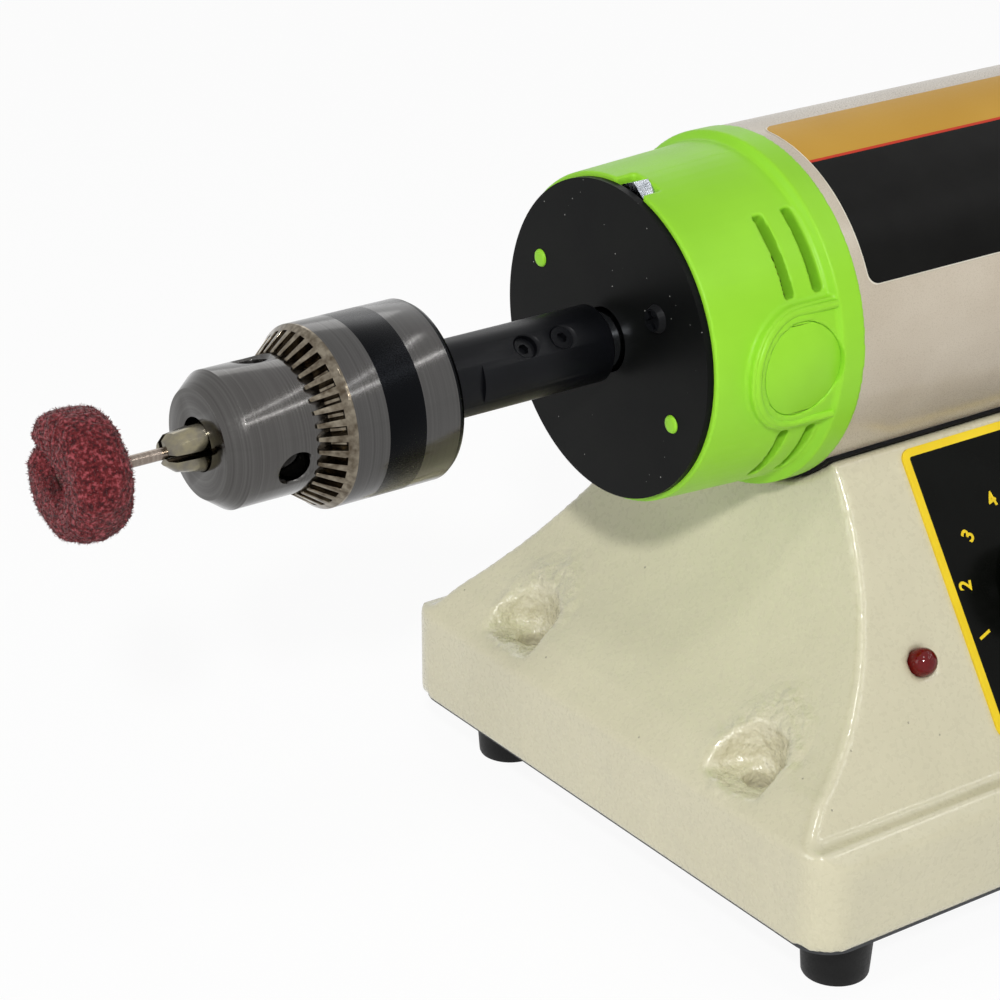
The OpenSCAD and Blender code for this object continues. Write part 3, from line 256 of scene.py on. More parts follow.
@dataclass(frozen=True)
class CastEnamel(Finish):
    """Stoved enamel on sand-cast iron, with orange peel, low lumps and a few pinholes.

    Attributes:
        lump_mm: Size and depth of the casting's low lumps.
        peel_mm: Size and depth of the enamel's orange peel.
        sand_mm: Size and depth of the sand marks in the recesses round the bench bolts.
        recess_radius: Where the sand marks begin, and where they have their full depth.
        pinhole_mm: Spacing of the pinholes and their depth.
        pinhole_edge: Where a pinhole ends and where it is deepest, as a share of the spacing.
        dust: Colour painted in a pinhole, as the shade in it.
    """

    lump_mm: tuple[float, float] = (8.0, 0.35)
    peel_mm: tuple[float, float] = (1.7, 0.06)
    sand_mm: tuple[float, float] = (2.2, 0.9)
    recess_radius: tuple[float, float] = (11.5, 8.5)
    pinhole_mm: tuple[float, float] = (6.0, 0.12)
    pinhole_edge: tuple[float, float] = (0.05, 0.02)
    dust: str = "#6B6550"

    def in_recess(self, shader: Shader) -> Socket:
        """Returns 1 in the recesses, which mirror one another twice, and 0 away from them."""
        left, right = BENCH_BOLT_X
        flat = shader.add("Mapping", {"Vector": shader.place, "Location": (-(left + right) / 2 * MM, 0.0, 0.0),
                                      "Scale": (1.0, 1.0, 0.0)})
        folded = shader.add("VectorMath", {0: flat}, operation="ABSOLUTE")
        bolt = ((right - left) / 2 * MM, BENCH_BOLT_Y * MM, 0.0)
        away = shader.add("VectorMath", {0: folded, 1: bolt}, "Value", operation="DISTANCE")
        outer, inner = self.recess_radius
        return shader.add("MapRange", {"Value": away, "From Min": outer * MM, "From Max": inner * MM})

    def paint(self) -> Shader:
        """Lays lumps, orange peel, sand marks and pinholes under the gloss, with painted shade in the pinholes."""
        shader = super().paint()
        below: dict[str | int, object] = {}
        for (size, depth), detail, share in ((self.lump_mm, 0.0, 1.0), (self.peel_mm, 0.0, 1.0),
                                             (self.sand_mm, 2.0, self.in_recess(shader))):
            noise = shader.add("TexNoise", {"Vector": shader.place, "Scale": per_metre(size), "Detail": detail})
            height = shader.add("Math", {0: noise, 1: share}, operation="MULTIPLY")
            below = {"Normal": shader.add("Bump", {"Height": height, "Distance": depth * MM, **below})}
        spacing, depth = self.pinhole_mm
        hole = shader.specks(spacing, self.pinhole_edge, shader.patches(16.0, 0.0, 0.6, 0.63))
        shader.set(Normal=shader.add("Bump", {"Height": hole, "Distance": depth * MM, **below}, invert=True))
        # Painted shade: each pinhole is coloured darker, as the shade in its pit.
        shader.cover(shader.add("Math", {0: hole, 1: 0.7}, operation="MULTIPLY"), linear(self.dust))
        return shader


@dataclass(frozen=True)
class DustyPaint(Finish):
    """Sprayed black paint with a few pale specks of polishing dust on it."""

    speck_mm: float = 2.5
    speck_edge: tuple[float, float] = (0.06, 0.04)
    dust: str = "#A9A9A6"

    def paint(self) -> Shader:
        """Strews the specks, drawn a little larger than real dust so that they show."""
        shader = super().paint()
        speck = shader.specks(self.speck_mm, self.speck_edge, shader.patches(11.0, 1.0, 0.42, 0.5))
        shader.cover(speck, linear(self.dust))
        return shader


@dataclass(frozen=True)
class MouldedCap(Finish):
    """Moulded plastic whose bore round the shaft is painted near-black as shade."""

    bore_radius: float = 12.0
    painted_bore_shade: str = "#131410"

    def paint(self) -> Shader:
        """Darkens what lies near the spindle, as painted shade in the bore."""
        shader = super().paint()
        # Painted shade: within bore_radius of the spindle the cap is coloured near-black.
        near = shader.add("Math", {0: shader.radius(), 1: self.bore_radius * MM}, operation="LESS_THAN")
        shader.cover(near, linear(self.painted_bore_shade))
        return shader


@dataclass(frozen=True)
class TurnedSteel(Finish):
    """Steel turned on a lathe: fine rings round the spindle that draw a lamp into a bright streak.

    Attributes:
        ring_mm: Spacing of the rings and their depth. Real ones are finer and wouldn't show.
    """

    ring_mm: tuple[float, float] = (0.45, 0.0012)

    def paint(self) -> Shader:
        """Cuts rings round the spindle and lets their brightness vary."""
        shader = super().paint()
        spacing, depth = self.ring_mm
        along = shader.add("SeparateXYZ", {0: shader.place})
        spot = shader.add("CombineXYZ", {0: along, 1: shader.radius()})
        rings = shader.add("TexNoise", {"Vector": spot, "Scale": per_metre(spacing), "Detail": 3.0})
        light = shader.add("MapRange", {"Value": rings, "From Min": 0.3, "From Max": 0.7})
        tone = shader.add("Mix", {SHARE: light, FIRST: linear(self.colour), SECOND: linear(self.shade)}, BLEND,
                          data_type="RGBA")
        shader.set(Base_Color=tone, Normal=shader.add("Bump", {"Height": rings, "Distance": depth * MM}))
        return shader


@dataclass(frozen=True)
class BandedSteel(TurnedSteel):
    """The chuck's sleeve: straw-coloured hard teeth, bright barrel, black band and black rear rim.

    Attributes:
        teeth_end: X where the teeth end.
        band: X where the black band starts and ends.
        rim: X where the black rim starts.
        straw: Clean and greasy colour of the teeth.
        black: Colour of the band and the rim.
        black_rough: How much rougher these are than the bare steel.
    """

    teeth_end: float = -105.3
    band: tuple[float, float] = (-98.4, -90.2)
    rim: float = -82.6
    straw: tuple[str, str] = ("#867E70", "#4F463A")
    black: str = "#121315"
    black_rough: float = 0.12

    def paint(self) -> Shader:
        """Colours the steel by its place along the spindle."""
        shader = super().paint()
        along = shader.add("SeparateXYZ", {0: shader.place})
        teeth = shader.add("Math", {0: along, 1: self.teeth_end * MM}, operation="LESS_THAN")
        middle, half = sum(self.band) / 2, (self.band[1] - self.band[0]) / 2
        band = shader.add("Math", {0: along, 1: middle * MM, 2: half * MM}, operation="COMPARE")
        rim = shader.add("Math", {0: along, 1: self.rim * MM}, operation="GREATER_THAN")
        dark = shader.add("Math", {0: band, 1: rim}, operation="MAXIMUM")
        grime = shader.patches(1.6, 3.0, 0.35, 0.7)
        clean, greasy = (linear(colour) for colour in self.straw)
        straw = shader.add("Mix", {SHARE: grime, FIRST: clean, SECOND: greasy}, BLEND, data_type="RGBA")
        shader.cover(teeth, straw)
        shader.cover(dark, linear(self.black))
        rough = {0: dark, 1: self.black_rough, 2: shader.under("Roughness")}
        shader.set(Roughness=shader.add("Math", rough, operation="MULTIPLY_ADD"))
        return shader


@dataclass(frozen=True)
class LabelPrint(Finish):
    """Printed vinyl film round the tube: an amber band over black, with a thin red line between.

    Attributes:
        split: Angle round the spindle, from the rear upwards, where amber meets black.
        line: Width of the red line, as an angle.
        amber: The two tones of the amber ink.
        red: The line's colour.
    """

    split: float = 113.9
    line: float = 1.1
    amber: tuple[str, str] = ("#CFA248", "#C6983E")
    red: str = "#C8402E"

    def paint(self) -> Shader:
        """Prints the bands by the angle round the spindle."""
        shader = super().paint()
        centred = shader.add("Mapping", {"Vector": shader.place, "Location": (0.0, 0.0, -SPINDLE_HEIGHT * MM)})
        _, across, up = shader.add("SeparateXYZ", {0: centred}).node.outputs
        angle = shader.add("Math", {0: up, 1: across}, operation="ARCTAN2")
        split, half = math.radians(self.split), math.radians(self.line / 2)
        behind = shader.add("Math", {0: angle, 1: split}, operation="LESS_THAN")
        line = shader.add("Math", {0: angle, 1: split, 2: half}, operation="COMPARE")
        light, dark = (linear(colour) for colour in self.amber)
        drift = shader.patches(26.0, 1.0, 0.3, 0.7)
        shader.cover(behind, shader.add("Mix", {SHARE: drift, FIRST: light, SECOND: dark}, BLEND, data_type="RGBA"))
        shader.cover(line, linear(self.red))
        return shader


@dataclass(frozen=True)
class Fleece(Finish):
    """Non-woven nylon fleece with grit: matt fibres, with painted light on their tips and painted shade in the gaps
    between them.

    Attributes:
        tuft_mm: Size and depth of the tufts.
        painted_gap_shade: Colour painted in the gaps between the fibres, as their shade.
        painted_tip_light: Colour painted on the fibres' tips, as the light that they catch.
    """

    tuft_mm: tuple[float, float] = (0.75, 0.45)
    painted_gap_shade: str = "#38090F"
    painted_tip_light: str = "#9E4A50"

    def paint(self) -> Shader:
        """Speckles the fibres from deep maroon to pale rose: painted shade in the gaps, painted light on the tips."""
        shader = super().paint()
        size, depth = self.tuft_mm
        tufts = shader.add("TexNoise", {"Vector": shader.place, "Scale": per_metre(size), "Detail": 4.0})
        # Painted shade and light: low places of the tufts get the dark gap colour, high places the pale tip colour.
        filled = shader.add("MapRange", {"Value": tufts, "From Min": 0.36, "From Max": 0.5})
        raised = shader.add("MapRange", {"Value": tufts, "From Min": 0.52, "From Max": 0.68})
        web = shader.add("Mix", {SHARE: filled, FIRST: linear(self.painted_gap_shade), SECOND: linear(self.colour)}, BLEND,
                         data_type="RGBA")
        tone = shader.add("Mix", {SHARE: raised, FIRST: web, SECOND: linear(self.painted_tip_light)}, BLEND, data_type="RGBA")
        shader.set(Base_Color=tone, Sheen_Weight=0.15, Sheen_Roughness=0.5, Specular_IOR_Level=0.2,
                   Normal=shader.add("Bump", {"Height": tufts, "Distance": depth * MM}))
        return shader


@dataclass(frozen=True)
class ClearLens(Finish):
    """Tinted acrylic: light enters the lens and the hot spot stays small."""

    def paint(self) -> Shader:
        """Lets part of the light through."""
        shader = super().paint()
        shader.set(Transmission_Weight=0.15, IOR=1.49)
        return shader


# Enamel stoved over rough cast iron: deep warm gloss that follows every lump.
ENAMEL = CastEnamel("stoved_cream_enamel", "#CFC9AC", "#CCC6A9", (0.24, 0.34), (1.2, 0.001), drift_mm=30, coat=0.5)
# ABS from a polished mould: semi-gloss, so highlights are broad and clean.
GREEN_ABS = MouldedCap("lime_moulded_abs", "#97D935", "#90D030", (0.32, 0.42), (0.45, 0.003), gloss=0.2, drift_mm=25)
# Lacquer with mica, sprayed: a soft sheen with a fine sparkle. Its flakes are drawn coarse so that they show.
PEARL = Finish("pearl_lacquered_tube", "#C4B9A7", "#BBAF9C", (0.24, 0.34), (0.25, 0.004), coat=0.1, drift_mm=18)
# Sprayed paint on a pressed disc: flat deep black with almost no mirror.
DISC_BLACK = DustyPaint("black_painted_disc", "#0A0B0B", "#0E0F0E", (0.3, 0.42), (0.5, 0.003), gloss=0.06)
# Steel blued in a hot bath: nearly black, with a cold satin glint along round parts.
OXIDE = Finish("black_oxide_steel", "#090A0C", "#0E0F12", (0.28, 0.4), (0.3, 0.003), gloss=0.13)
# Steel turned and left bare: a dark mirror in which the lamps are drawn into streaks.
STEEL = TurnedSteel("turned_chuck_steel", "#605F5D", "#4D4B4A", (0.12, 0.19), (0.3, 0.002), metal=1.0)
# The same steel with tempered teeth and blackened bands: the streaks break at the bands.
SLEEVE_STEEL = BandedSteel("ground_sleeve_steel", "#5C5B5A", "#4A4948", (0.12, 0.19), (0.3, 0.002), metal=1.0)
# Steel hardened, tempered and ground: a straw tint under a clean shine.
JAW_STEEL = Finish("hardened_jaw_steel", "#8E8770", "#6F6B64", (0.16, 0.24), (0.4, 0.001), metal=1.0, drift_mm=3)
# Steel rod drawn bright and dulled by handling: warm grey with one narrow glint.
SHANK_STEEL = TurnedSteel("bright_shank_steel", "#958A80", "#7C7168", (0.2, 0.28), (0.3, 0.001), metal=1.0)
# Steel plated with zinc: cool and cloudy, brighter where it is smooth.
ZINC = Finish("zinc_plated_steel", "#B9BDC2", "#8F949A", (0.16, 0.32), (0.8, 0.02), metal=1.0, drift_mm=2)
# Steel machined for the flexible shaft: pale grey, with soft turning marks.
NOSE_STEEL = TurnedSteel("machined_nose_steel", "#A0A4A9", "#8A8E93", (0.26, 0.36), (0.3, 0.002), metal=1.0)
# Bearing steel ground fine: close to a mirror.
GROUND = Finish("ground_bearing_steel", "#B8BCC0", "#A4A8AD", (0.1, 0.2), (0.3, 0.001), metal=1.0)
# Rubber moulded soft: matt, and greyer where light grazes it.
RUBBER = Finish("moulded_black_rubber", "#0E0E0E", "#161616", (0.45, 0.6), (0.5, 0.01), gloss=0.2)
# Rubber strip, extruded: flatter and blacker than the feet.
GASKET = Finish("gasket_rubber_strip", "#0C0C0D", "#141416", (0.55, 0.7), (0.6, 0.015), gloss=0.12)
# Steel sheet with dipped paint: even dull black.
SHEET = Finish("painted_sheet_cover", "#26282B", "#2E3033", (0.4, 0.55), (0.8, 0.01))
# Polyester film, printed from behind: flat and deep black, with a faint soft glare.
FILM = Finish("glossy_panel_film", "#070806", "#0B0C0A", (0.16, 0.24), (0.4, 0.002), gloss=0.07)
# Screen ink on that film: opaque warm yellow with a soft edge to its shine.
YELLOW = Finish("yellow_panel_ink", "#F2D32A", "#ECCB22", (0.35, 0.45), (0.4, 0.002), gloss=0.3)
# Vinyl film with printed inks: flat colours that meet at a sharp line.
LABEL = LabelPrint("printed_vinyl_label", "#0C0C0B", "#111110", (0.3, 0.42), (0.5, 0.002), gloss=0.06)
# Paper under the vinyl, cut with it: shows as a pale rim.
LABEL_EDGE = Finish("label_backing_paper", "#E4DFD0", "#D9D3C2", (0.4, 0.5), (0.4, 0.002))
# Nylon web with bonded grit: no gloss at all, only painted light on pale tips over painted shade in dark gaps.
FLEECE = Fleece("maroon_abrasive_fleece", "#631E21", "#551719", (0.85, 0.95), (0.5, 0.08), drift_mm=3)
# ABS from a lightly etched mould: satin, so that the ribs catch thin lines.
KNOB_ABS = Finish("satin_black_knob", "#151618", "#1C1D1F", (0.35, 0.5), (0.35, 0.006), gloss=0.35)
# Ink filled into a groove and wiped: chalky white.
WHITE_INK = Finish("white_marking_ink", "#EDEDE8", "#E2E2DC", (0.35, 0.45), (0.4, 0.002))
# Polycarbonate from a polished mould: a wet highlight over strong red.
ROCKER_RED = Finish("glossy_red_rocker", "#C0261E", "#B31F18", (0.14, 0.24), (0.5, 0.003), coat=0.2)
# Acrylic, moulded clear and tinted: dark red with one sharp glint.
LENS = ClearLens("red_acrylic_lens", "#72080A", "#600608", (0.06, 0.12), (0.5, 0.001), gloss=0.25)
# Steel sheets, punched and stacked: fine dark lines along the stack.
LAMINATION = Finish("stacked_lamination_steel", "#70757C", "#5E6369", (0.4, 0.6), (0.5, 0.05), metal=0.8,
                    stretch=(1, 0.03, 0.03))
# Copper wire, drawn, enamelled and wound: orange strands that lie side by side.
COPPER = Finish("enamelled_copper_wire", "#B5622C", "#9A4C1E", (0.25, 0.4), (0.8, 0.06), metal=0.8,
                stretch=(0.05, 1, 1))
# Brass, drawn: warm yellow with a soft line of light.
BRASS = Finish("drawn_brass", "#C6A04C", "#B08A3B", (0.25, 0.4), (0.5, 0.004), metal=1.0)
# Carbon, pressed from powder: soft graphite black.
CARBON = Finish("pressed_carbon", "#2A2A2C", "#353538", (0.5, 0.7), (0.3, 0.01))
# Spring wire, drawn and coiled: a glint on each turn.
SPRING = Finish("wound_spring_steel", "#9A9DA1", "#7D8084", (0.25, 0.4), (0.6, 0.08), metal=1.0,
                stretch=(0.05, 1, 0.05))
# Nylon, moulded: dull blue-black.
NYLON = Finish("moulded_fan_nylon", "#20242A", "#292E35", (0.45, 0.6), (0.5, 0.008))
# Glass laminate with solder resist: even green with a low gloss.
LAMINATE = Finish("green_board_laminate", "#1F6B3A", "#185A30", (0.3, 0.45), (0.7, 0.01))
# Aluminium, extruded: pale, with die lines that run up the fins.
FIN_METAL = Finish("extruded_aluminium", "#A9ADB2", "#989CA1", (0.35, 0.5), (0.4, 0.01), metal=1.0,
                   stretch=(1, 1, 0.05))
# Epoxy resin, dipped: ochre with a soft shine.
CASE = Finish("capacitor_resin_case", "#C9B458", "#BCA64B", (0.35, 0.5), (0.6, 0.01))

CAD_FINISHES: dict[Finish, tuple[str, ...]] = {
    GASKET: ("saddle_gasket",),
    SHEET: ("bottom_cover",),
    PEARL: ("motor_tube",),
    DISC_BLACK: ("left_end_disc", "right_end_disc"),
    OXIDE: ("end_disc_screws", "rod_set_screws"),
    ZINC: ("foot_screws", "through_bolts", "motor_mount_bolts", "motor_mount_nuts", "speed_control_nut",
           "board_screws", "speed_control_shaft", "speed_control"),
    LAMINATION: ("stator_core", "rotor_core"),
    COPPER: ("field_coils", "rotor_windings", "choke_coil", "commutator"),
    GROUND: ("bearing_outer_rings", "bearing_inner_rings", "bearing_balls", "motor_shaft", "shaft_collar"),
    BRASS: ("bearing_cages", "brush_holders", "board_standoffs"),
    CARBON: ("front_brush", "rear_brush"),
    SPRING: ("front_brush_spring", "rear_brush_spring"),
    NYLON: ("cooling_fan",),
    STEEL: ("chuck_nut",),
    JAW_STEEL: ("chuck_jaw_1", "chuck_jaw_2", "chuck_jaw_3"),
    SHANK_STEEL: ("wheel_mandrel",),
    FILM: ("control_panel",),
    KNOB_ABS: ("switch_housing",),
    RUBBER: ("cord_grommet",),
    LAMINATE: ("circuit_board",),
    FIN_METAL: ("heat_sink",),
    CASE: ("capacitor",),
    NOSE_STEEL: ("flex_shaft_nose",),
    LENS: ("power_light",),
}


# ---------------------------------------------------------------- bench work


def select_only(piece: Piece) -> None:
    """Deselects everything, then selects one piece and makes it active."""
    bpy.ops.object.select_all(action="DESELECT")
    piece.select_set(True)
    bpy.context.view_layer.objects.active = piece


def apply(piece: Piece, kind: str, **settings: object) -> None:
    """Adds a modifier with its settings and applies it."""
    select_only(piece)
    modifier = piece.modifiers.new(kind.lower(), kind)
    for key, value in settings.items():
        setattr(modifier, key, value)
    bpy.ops.object.modifier_apply(modifier=modifier.name)


def edit(piece: Piece, *steps: Callable[[], object]) -> None:
    """Runs steps on a piece in edit mode, with its whole mesh selected."""
    select_only(piece)
    bpy.ops.object.mode_set(mode="EDIT")
    bpy.ops.mesh.select_all(action="SELECT")
    for step in steps:
        step()
    bpy.ops.object.mode_set(mode="OBJECT")


def settle(piece: Piece, smooth_deg: float = 35.0) -> Piece:
    """Bakes a piece's place into its mesh and smooths it where it bends gently."""
    select_only(piece)
    bpy.ops.object.transform_apply(location=True, rotation=True, scale=True)
    bpy.ops.object.shade_smooth_by_angle(angle=math.radians(smooth_deg))
    return piece


def placed(name: str, data: bpy.types.ID) -> Piece:
    """Puts new data into the scene as an object."""
    piece = bpy.data.objects.new(name, data)
    bpy.context.scene.collection.objects.link(piece)
    return piece


def meshed(name: str, curve: bpy.types.Curve) -> Piece:
    """Puts a curve or a text into the scene and makes it a mesh."""
    select_only(placed(name, curve))
    bpy.ops.object.convert(target="MESH")
    return bpy.context.active_object


def cube(name: str, size: Sequence[float], place: Matrix, round_mm: float) -> Piece:
    """Adds a bar with rounded edges.

    Args:
        name: Name of the bar.
        size: Its length along each axis.
        place: Where it stands.
        round_mm: Width of the bevel along its edges.

    Returns:
        The bar, still in millimetres.
    """
    bpy.ops.object.select_all(action="DESELECT")
    bpy.ops.mesh.primitive_cube_add(size=1.0)
    piece = bpy.context.active_object
    piece.name = piece.data.name = name
    piece.data.transform(place @ Matrix.Diagonal((*size, 1.0)))
    edit(piece, lambda: bpy.ops.mesh.bevel(offset=round_mm, segments=2, affect="EDGES"))
    return piece


def plate(name: str, width: float, depth: float, corner: float) -> Piece:
    """Adds a flat plate with round corners.

    Args:
        name: Name of the plate.
        width: Its length along X.
        depth: Its length along Y.
        corner: Radius of its corners.

    Returns:
        The plate, still in millimetres.
    """
    bpy.ops.object.select_all(action="DESELECT")
    bpy.ops.mesh.primitive_plane_add(size=1.0)
    piece = bpy.context.active_object
    piece.name = piece.data.name = name
    piece.scale = (width, depth, 1.0)
    bpy.ops.object.transform_apply(scale=True)
    edit(piece, lambda: bpy.ops.mesh.bevel(affect="VERTICES", offset=corner, segments=8))
    return piece


def merged(source: Piece, name: str) -> Piece:
    """Copies a frame piece and joins the loose triangles of the copy."""
    piece = placed(name, source.data.copy())
    edit(piece, lambda: bpy.ops.mesh.remove_doubles(threshold=MERGE_M))
    return piece


def recast(source: Piece, name: str, voxel_mm: float, passes: int) -> Piece:
    """Copies a frame piece as one skin whose edges are rounded as by a mould.

    Args:
        source: The frame's own piece, which is left alone.
        name: Name of the new piece.
        voxel_mm: Size of the cells of the new skin.
        passes: How often the skin is smoothed.

    Returns:
        The new piece.
    """
    piece = merged(source, name)
    apply(piece, "REMESH", mode="VOXEL", voxel_size=voxel_mm * MM, use_smooth_shade=True)
    apply(piece, "SMOOTH", factor=0.5, iterations=passes)
    return piece


def eased(source: Piece, name: str, width_mm: float) -> Piece:
    """Copies a frame piece and breaks its sharp edges with a small bevel.

    Args:
        source: The frame's own piece, which is left alone.
        name: Name of the new piece.
        width_mm: Width of the bevel.

    Returns:
        The new piece.
    """
    piece = merged(source, name)
    edit(piece, lambda: bpy.ops.mesh.dissolve_limited(angle_limit=math.radians(0.3)))
    apply(piece, "BEVEL", width=width_mm * MM, segments=2, limit_method="ANGLE",
          angle_limit=math.radians(32), use_clamp_overlap=True)
    return settle(piece, 30.0)


def dent(piece: Piece, name: str, size_mm: float, depth_mm: float, middle: float, **settings: object) -> None:
    """Pushes a skin in and out by soft clouds.

    Args:
        piece: The piece whose skin it is.
        name: Name of the clouds.
        size_mm: Size of a dent.
        depth_mm: From the lowest to the highest place.
        middle: How much of that lies inside the old skin, as a share.
        **settings: Further settings of the modifier.
    """
    clouds = bpy.data.textures.new(name, "CLOUDS")
    clouds.noise_scale = size_mm * MM
    clouds.noise_depth = 2
    apply(piece, "DISPLACE", texture=clouds, strength=depth_mm * MM, mid_level=middle, texture_coords="LOCAL",
          **settings)


def dress(piece: Piece, finish: Finish, body: Body, slot: str, *nodes: str) -> None:
    """Gives a new piece its finish and its body, and hides the frame's nodes that it stands for."""
    piece.data.materials.clear()
    piece.data.materials.append(finish.material())
    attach(piece, body.value)
    if nodes:
        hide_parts(*nodes)
    LOG.info("%s rides on %s", piece.name, body.value)


# ---------------------------------------------------------------- sub-assemblies


@dataclass
class Pedestal:
    """The cast base with its feet.

    Attributes:
        nodes: The frame's pieces by name.
        skin_mm: Cells of the cast skin.
        skin_keep: Share of its triangles that is kept.
        edge_mm: Bevel of the feet.
        pocket_radius: How far the rough recess round a bolt reaches.
        pocket_low: Height above which the recesses lie.
    """

    nodes: dict[str, Piece]
    skin_mm: float = 1.0
    skin_keep: float = 0.66
    edge_mm: float = 0.5
    pocket_radius: float = 15.0
    pocket_low: float = 37.0

    def build(self) -> None:
        """Recasts the base's skin and eases the rubber feet."""
        base = recast(self.nodes["base_casting"], "base_skin", self.skin_mm, 4)
        self.rough_pockets(base)
        dress(base, ENAMEL, Body.MACHINE, "cream_enamel", "base_casting")
        feet = eased(self.nodes["rubber_feet"], "feet", self.edge_mm)
        dress(feet, RUBBER, Body.MACHINE, "foot_rubber", "rubber_feet")

    def rough_pockets(self, base: Piece) -> None:
        """Softens and dents the recesses round the bench bolts, as they come from the sand."""
        group = base.vertex_groups.new(name="pockets")
        centres = [Vector((x, y)) for x in BENCH_BOLT_X for y in (-BENCH_BOLT_Y, BENCH_BOLT_Y)]
        for vertex in base.data.vertices:
            spot = vertex.co / MM
            if spot.z < self.pocket_low:
                continue
            away = min((spot.xy - centre).length for centre in centres)
            if away < self.pocket_radius:
                group.add([vertex.index], min(1.0, 2.0 * (1 - away / self.pocket_radius)), "REPLACE")
        apply(base, "SMOOTH", factor=0.6, iterations=9, vertex_group="pockets")
        dent(base, "sand_dents", 3.0, 1.5, 0.5, vertex_group="pockets")
        apply(base, "SMOOTH", factor=0.5, iterations=1)
        apply(base, "DECIMATE", ratio=self.skin_keep)


@dataclass
class Motor:
    """The motor's housing: two moulded caps, their brush covers and the printed label.

    Attributes:
        nodes: The frame's pieces by name.
        cap_skin_mm: Cells of a cap's skin.
        cap_keep: Share of its triangles that is kept.
        rim_mm: Radius of the round rim beside a brush cover, and the share of it that is sunk.
        rim_radius: Radius of the rim's path round the brush cover.
        rim_end: X where the rim ends, towards the tube.
        brush_x: X of the brush covers' middle.
        line_size: Length, width and height of a mould's parting line.
        line_spot: X of its middle, and its distance from the spindle.
        line_slope: How much it falls towards the motor's end.
        line_turn: How far it is turned from the top.
        label_from: X of the label's left border.
        label_len: The label's length.
        label_arc: Angles round the spindle, from the rear upwards, where the label starts and ends.
        label_gap: Distance of the label from the tube.
        corner_mm: Radius of its corners.
        backing_mm: Thickness of its backing.
        film_mm: Thickness of its printed film.
        margin_mm: Width of the backing that shows round the film.
    """

    nodes: dict[str, Piece]
    cap_skin_mm: float = 0.4
    cap_keep: float = 0.42
    rim_mm: tuple[float, float] = (0.95, 0.55)
    rim_radius: float = 11.6
    rim_end: float = -4.2
    brush_x: float = -13.3
    line_size: tuple[float, float, float] = (22.6, 0.3, 0.3)
    line_spot: tuple[float, float] = (-16.6, 34.68)
    line_slope: float = -2.92
    line_turn: float = 5.0
    label_from: float = 4.3
    label_len: float = 101.2
    label_arc: tuple[float, float] = (89.4, 159.0)
    label_gap: float = 0.03
    corner_mm: float = 2.4
    backing_mm: float = 0.06
    film_mm: float = 0.2
    margin_mm: float = 0.25

    def build(self) -> None:
        """Recasts the caps, raises their rims and lines, and lays the label."""
        for side in ("left", "right"):
            cap = recast(self.nodes[f"{side}_end_cap"], f"{side}_cap_moulding", self.cap_skin_mm, 2)
            apply(cap, "DECIMATE", ratio=self.cap_keep)
            settle(cap, 50.0)
            if side == "left":
                for way, name in ((-1, "front"), (1, "rear")):
                    dress(self.rim(f"{name}_brush_rim", cap, way), GREEN_ABS, Body.MACHINE, "green_abs")
            dress(cap, GREEN_ABS, Body.MACHINE, "green_abs", f"{side}_end_cap")
        covers = eased(self.nodes["brush_covers"], "brush_cover_caps", 0.4)
        dress(covers, GREEN_ABS, Body.MACHINE, "green_abs", "brush_covers")
        backing = self.sheet("label_backing", 0.0, self.backing_mm)
        dress(backing, LABEL_EDGE, Body.MACHINE, "label_film")
        film = self.sheet("label_film_print", self.margin_mm, self.film_mm)
        dress(film, LABEL, Body.MACHINE, "label_film", "rating_label")
        for turn, name in ((0.0, "front_parting_line"), (180.0, "rear_parting_line")):
            dress(self.parting_line(name, turn), GREEN_ABS, Body.MACHINE, "green_abs")

    def rim(self, name: str, cap: Piece, way: int) -> Piece:
        """Lays a half-sunk round rim on the cap, round the brush cover and open towards the tube.

        Args:
            name: Name of the rim.
            cap: The cap's skin, which it follows.
            way: -1 for the front, 1 for the rear.

        Returns:
            The rim.
        """
        route = [(self.rim_end, self.rim_radius)]
        for angle in range(90, 271, 6):
            route.append((self.brush_x + self.rim_radius * math.cos(math.radians(angle)),
                          self.rim_radius * math.sin(math.radians(angle))))
        route.append((self.rim_end, -self.rim_radius))
        thick, sunk = self.rim_mm
        spots = []
        for x, rise in route:
            outside = Vector((x, way * 60.0, SPINDLE_HEIGHT + rise)) * MM
            hit, spot, _, _ = cap.ray_cast(outside, Vector((0, -way, 0)))
            if hit:
                spots.append(spot - Vector((0, way * thick * sunk * MM, 0)))
        curve = bpy.data.curves.new(name, "CURVE")
        curve.dimensions = "3D"
        curve.bevel_depth = thick * MM
        curve.use_fill_caps = True
        curve.bevel_resolution = 4
        line = curve.splines.new("POLY")
        line.points.add(len(spots) - 1)
        for point, spot in zip(line.points, spots):
            point.co = (*spot, 1.0)
        return settle(meshed(name, curve), 60.0)

    def parting_line(self, name: str, turn: float) -> Piece:
        """Raises the fine line that the mould's joint leaves along the left cap.

        Args:
            name: Name of the line.
            turn: How far it is turned round the spindle from the first one.

        Returns:
            The line.
        """
        along, out = self.line_spot
        slope = Matrix.Rotation(math.radians(self.line_slope), 4, "Y")
        piece = cube(name, self.line_size, Matrix.Translation((along, 0, out)) @ slope, 0.1)
        piece.data.transform(Matrix.Scale(MM, 4) @ Matrix.Translation((0, 0, SPINDLE_HEIGHT))
                             @ Matrix.Rotation(math.radians(self.line_turn + turn), 4, "X"))
        return settle(piece, 40.0)

